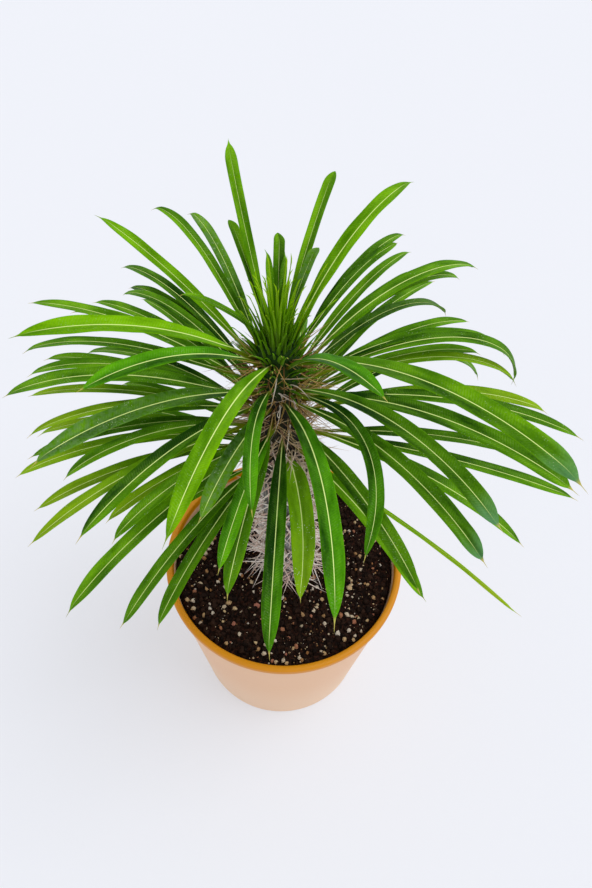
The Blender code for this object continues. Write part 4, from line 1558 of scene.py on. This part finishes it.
@dataclass
class PottingMix:
    """The gritty peat in the pot."""

    stem: Stem
    level: float = 140 * MM
    radius: float = 78.6 * MM
    rim_share: float = 0.99
    wall_drop: float = 2 * MM
    floor_radius: float = 62 * MM
    floor: float = 4.3 * MM
    floor_rings: int = 5
    rings: int = 90
    sides: int = 200
    heap_reach: float = 5 * MM
    stones: int = 1150
    crumbs: int = 3200
    grain_seed: int = 21

    def height(self, x: Array, y: Array) -> Array:
        """Height of the peat: soft swells, lumps and crumbs, heaped a little against the stem.

        Args:
            x: first coordinate.
            y: second coordinate.

        Returns:
            Heights.
        """
        swell = value_noise(x, y, 19 * MM, 1) * 1.1 + value_noise(x, y, 6 * MM, 2) * 0.7
        lumps = np.abs(value_noise(x, y, 2.6 * MM, 3)) * 0.9 + value_noise(x, y, 1.3 * MM, 7) * 0.4
        apart = np.hypot(x - self.stem.lean_x[0], y - self.stem.lean_y) - self.stem.radius_soil
        heap = 1.6 * np.exp(-((apart / self.heap_reach) ** 2))
        return self.level + (swell + lumps + heap - 0.6) * MM

    def peat(self) -> Patch:
        """The peat: a rough top on a tapered drum.

        Returns:
            The closed body.
        """
        turn = np.linspace(0, FULL_TURN, self.sides, endpoint=False)
        below = self.floor_rings
        reach = np.concatenate([np.linspace(3 * MM, self.floor_radius, below),
                                np.linspace(self.rim_share, 0.01, self.rings) * self.radius])
        rings = heading(turn) * reach[:, None, None]
        rings[:below, :, 2] = self.floor
        rings[below:, :, 2] = self.height(rings[below:, :, 0], rings[below:, :, 1])
        wall_top = rings[below] * (1, 1, 0) / self.rim_share + (0, 0, self.level - self.wall_drop)
        end = np.array([0, 0, self.height(np.zeros(1), np.zeros(1))[0]])
        return Patch.loft(np.insert(rings, below, wall_top, 0), np.array([0, 0, self.floor]), end)

    def grains(self) -> Patch:
        """Stones and crumbs strewn over the peat.

        Each is a twelve-cornered ball whose corners are moved in or out at random, stretched and
        turned at random, and sunk by a third.

        Returns:
            All the grains, with the marks kind and seed.
        """
        draw, count = np.random.default_rng(self.grain_seed), self.stones + self.crumbs
        kind = (np.arange(count) < self.stones).astype(float)
        g = (1 + math.sqrt(5)) / 2
        ball = np.array([(-1, g, 0), (1, g, 0), (-1, -g, 0), (1, -g, 0), (0, -1, g), (0, 1, g),
                         (0, -1, -g), (0, 1, -g), (g, 0, -1), (g, 0, 1), (-g, 0, -1), (-g, 0, 1)])
        faces = np.array([(0, 11, 5), (0, 5, 1), (0, 1, 7), (0, 7, 10), (0, 10, 11), (1, 5, 9), (5, 11, 4),
                          (11, 10, 2), (10, 7, 6), (7, 1, 8), (3, 9, 4), (3, 4, 2), (3, 2, 6), (3, 6, 8),
                          (3, 8, 9), (4, 9, 5), (2, 4, 11), (6, 2, 10), (8, 6, 7), (9, 8, 1)])
        stone, crumb = draw.uniform(0, 1, (2, count))
        size = np.where(kind > 0, 0.38 + 1.7 * stone**3, 0.5 + 1.7 * crumb**2) * MM
        stretch = draw.uniform(0.7, 1.3, (count, 1, 3))
        corners = ball / math.hypot(1, g) * draw.uniform(0.75, 1.15, (count, 12, 1)) * stretch
        spin = self.turns(draw.normal(size=(count, 4)))
        corners = np.einsum("nij,nkj->nki", spin, corners * size[:, None, None])
        turn = draw.uniform(0, FULL_TURN, count)
        reach = np.sqrt(draw.uniform(0.05, 1, count)) * (self.radius - 2.2 * MM)
        middle = heading(turn) * reach[:, None]
        middle[:, 2] = self.height(middle[:, 0], middle[:, 1]) + size * 0.3
        marks = {"kind": kind, "seed": draw.uniform(0, 1, count)}
        return Patch.repeated(middle[:, None] + corners, faces, marks)

    @staticmethod
    def turns(quaternion: Array) -> Array:
        """Rotation matrices of random quaternions.

        Args:
            quaternion: the four numbers of each, of any length together.

        Returns:
            One matrix for each.
        """
        w, x, y, z = (quaternion / np.linalg.norm(quaternion, axis=1)[:, None]).T
        rows = [1 - 2 * (y * y + z * z), 2 * (x * y - w * z), 2 * (x * z + w * y),
                2 * (x * y + w * z), 1 - 2 * (x * x + z * z), 2 * (y * z - w * x),
                2 * (x * z - w * y), 2 * (y * z + w * x), 1 - 2 * (x * x + y * y)]
        return np.stack(rows, -1).reshape(-1, 3, 3)

    def build(self) -> None:
        """Makes the peat and its grains."""
        finish_piece(self.peat().to_object("peat_soil", SoilFinish().build()), ["soil"])
        finish_piece(self.grains().to_object("soil_grit", GritFinish().build(), soft=False), [])


# The studio.


@dataclass
class Studio:
    """Floor, light and the camera at the photograph's place."""

    camera_place: tuple[float, float, float] = (3.9 * MM, -255.4 * MM, 636.1 * MM)
    camera_pitch: float = 53.76
    camera_roll: float = 3.14
    camera_lens: float = 30.405
    camera_sensor: float = 36
    camera_range: tuple[float, float] = (0.01, 40)
    floor_half: float = 6.0
    room_colour: Colour = (0.95, 0.96, 1.0)
    room_light: float = 0.76
    window_light: float = 1.25
    window_azimuth: float = 0
    window_height: float = 62
    window_spread: float = 45
    window_place: tuple[float, float, float] = (0, 0, 2)

    def build_camera(self) -> None:
        """The camera looks down by its pitch and is turned a little about its own line of sight."""
        pitch, roll = math.radians(self.camera_pitch), math.radians(self.camera_roll)
        level, rise = np.array([1.0, 0, 0]), np.array([0, math.sin(pitch), math.cos(pitch)])
        right, up = turned(level, rise, roll)
        data = bpy.data.cameras.new("camera")
        data.lens, data.sensor_width = self.camera_lens, self.camera_sensor
        data.clip_start, data.clip_end = self.camera_range
        camera = put("camera", data, right, up, np.cross(level, rise), np.array(self.camera_place))
        bpy.context.scene.camera = camera

    def build_floor(self) -> None:
        """A wide level floor under the pot."""
        corners = self.floor_half * np.array([(-1, -1, 0), (1, -1, 0), (1, 1, 0), (-1, 1, 0)])
        patch = Patch(corners, np.array([[0, 1, 2, 3]]), np.zeros((0, 3), int), {})
        floor = patch.to_object("studio_floor", FloorFinish().build(), soft=False)

    def build_lights(self) -> None:
        """A bright pale room with a broad soft light from the right and above."""
        world = bpy.data.worlds.new("room")
        world.use_nodes = True
        sky = world.node_tree.nodes["Background"]
        sky.inputs["Color"].default_value = (*self.room_colour, 1)
        sky.inputs["Strength"].default_value = self.room_light
        bpy.context.scene.world = world
        data = bpy.data.lights.new("window", "SUN")
        data.energy, data.angle = self.window_light, math.radians(self.window_spread)
        back = heading(math.radians(self.window_azimuth), math.radians(self.window_height))
        right = np.cross((0.0, 0, 1), back)
        right = right / np.linalg.norm(right)
        put("window", data, right, np.cross(back, right), back, np.array(self.window_place))
        view = bpy.context.scene.view_settings
        view.view_transform, view.look = "Standard", "None"

    def build(self) -> None:
        """Makes the whole studio."""
        self.build_camera()
        self.build_floor()
        self.build_lights()
        LOG.info("studio ready")


def main() -> None:
    """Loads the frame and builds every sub-assembly."""
    logging.basicConfig(level=logging.INFO, format="%(name)s: %(message)s")
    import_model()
    Studio().build()
    stem = Stem()
    NurseryPot().build()
    PottingMix(stem).build()
    stem.build()
    maker = LeafMaker(stem)
    green = LeafFinish().build()
    Canopy(maker).build(green)
    GrowingTip(maker).build(green)


if __name__ == "__main__":
    main()
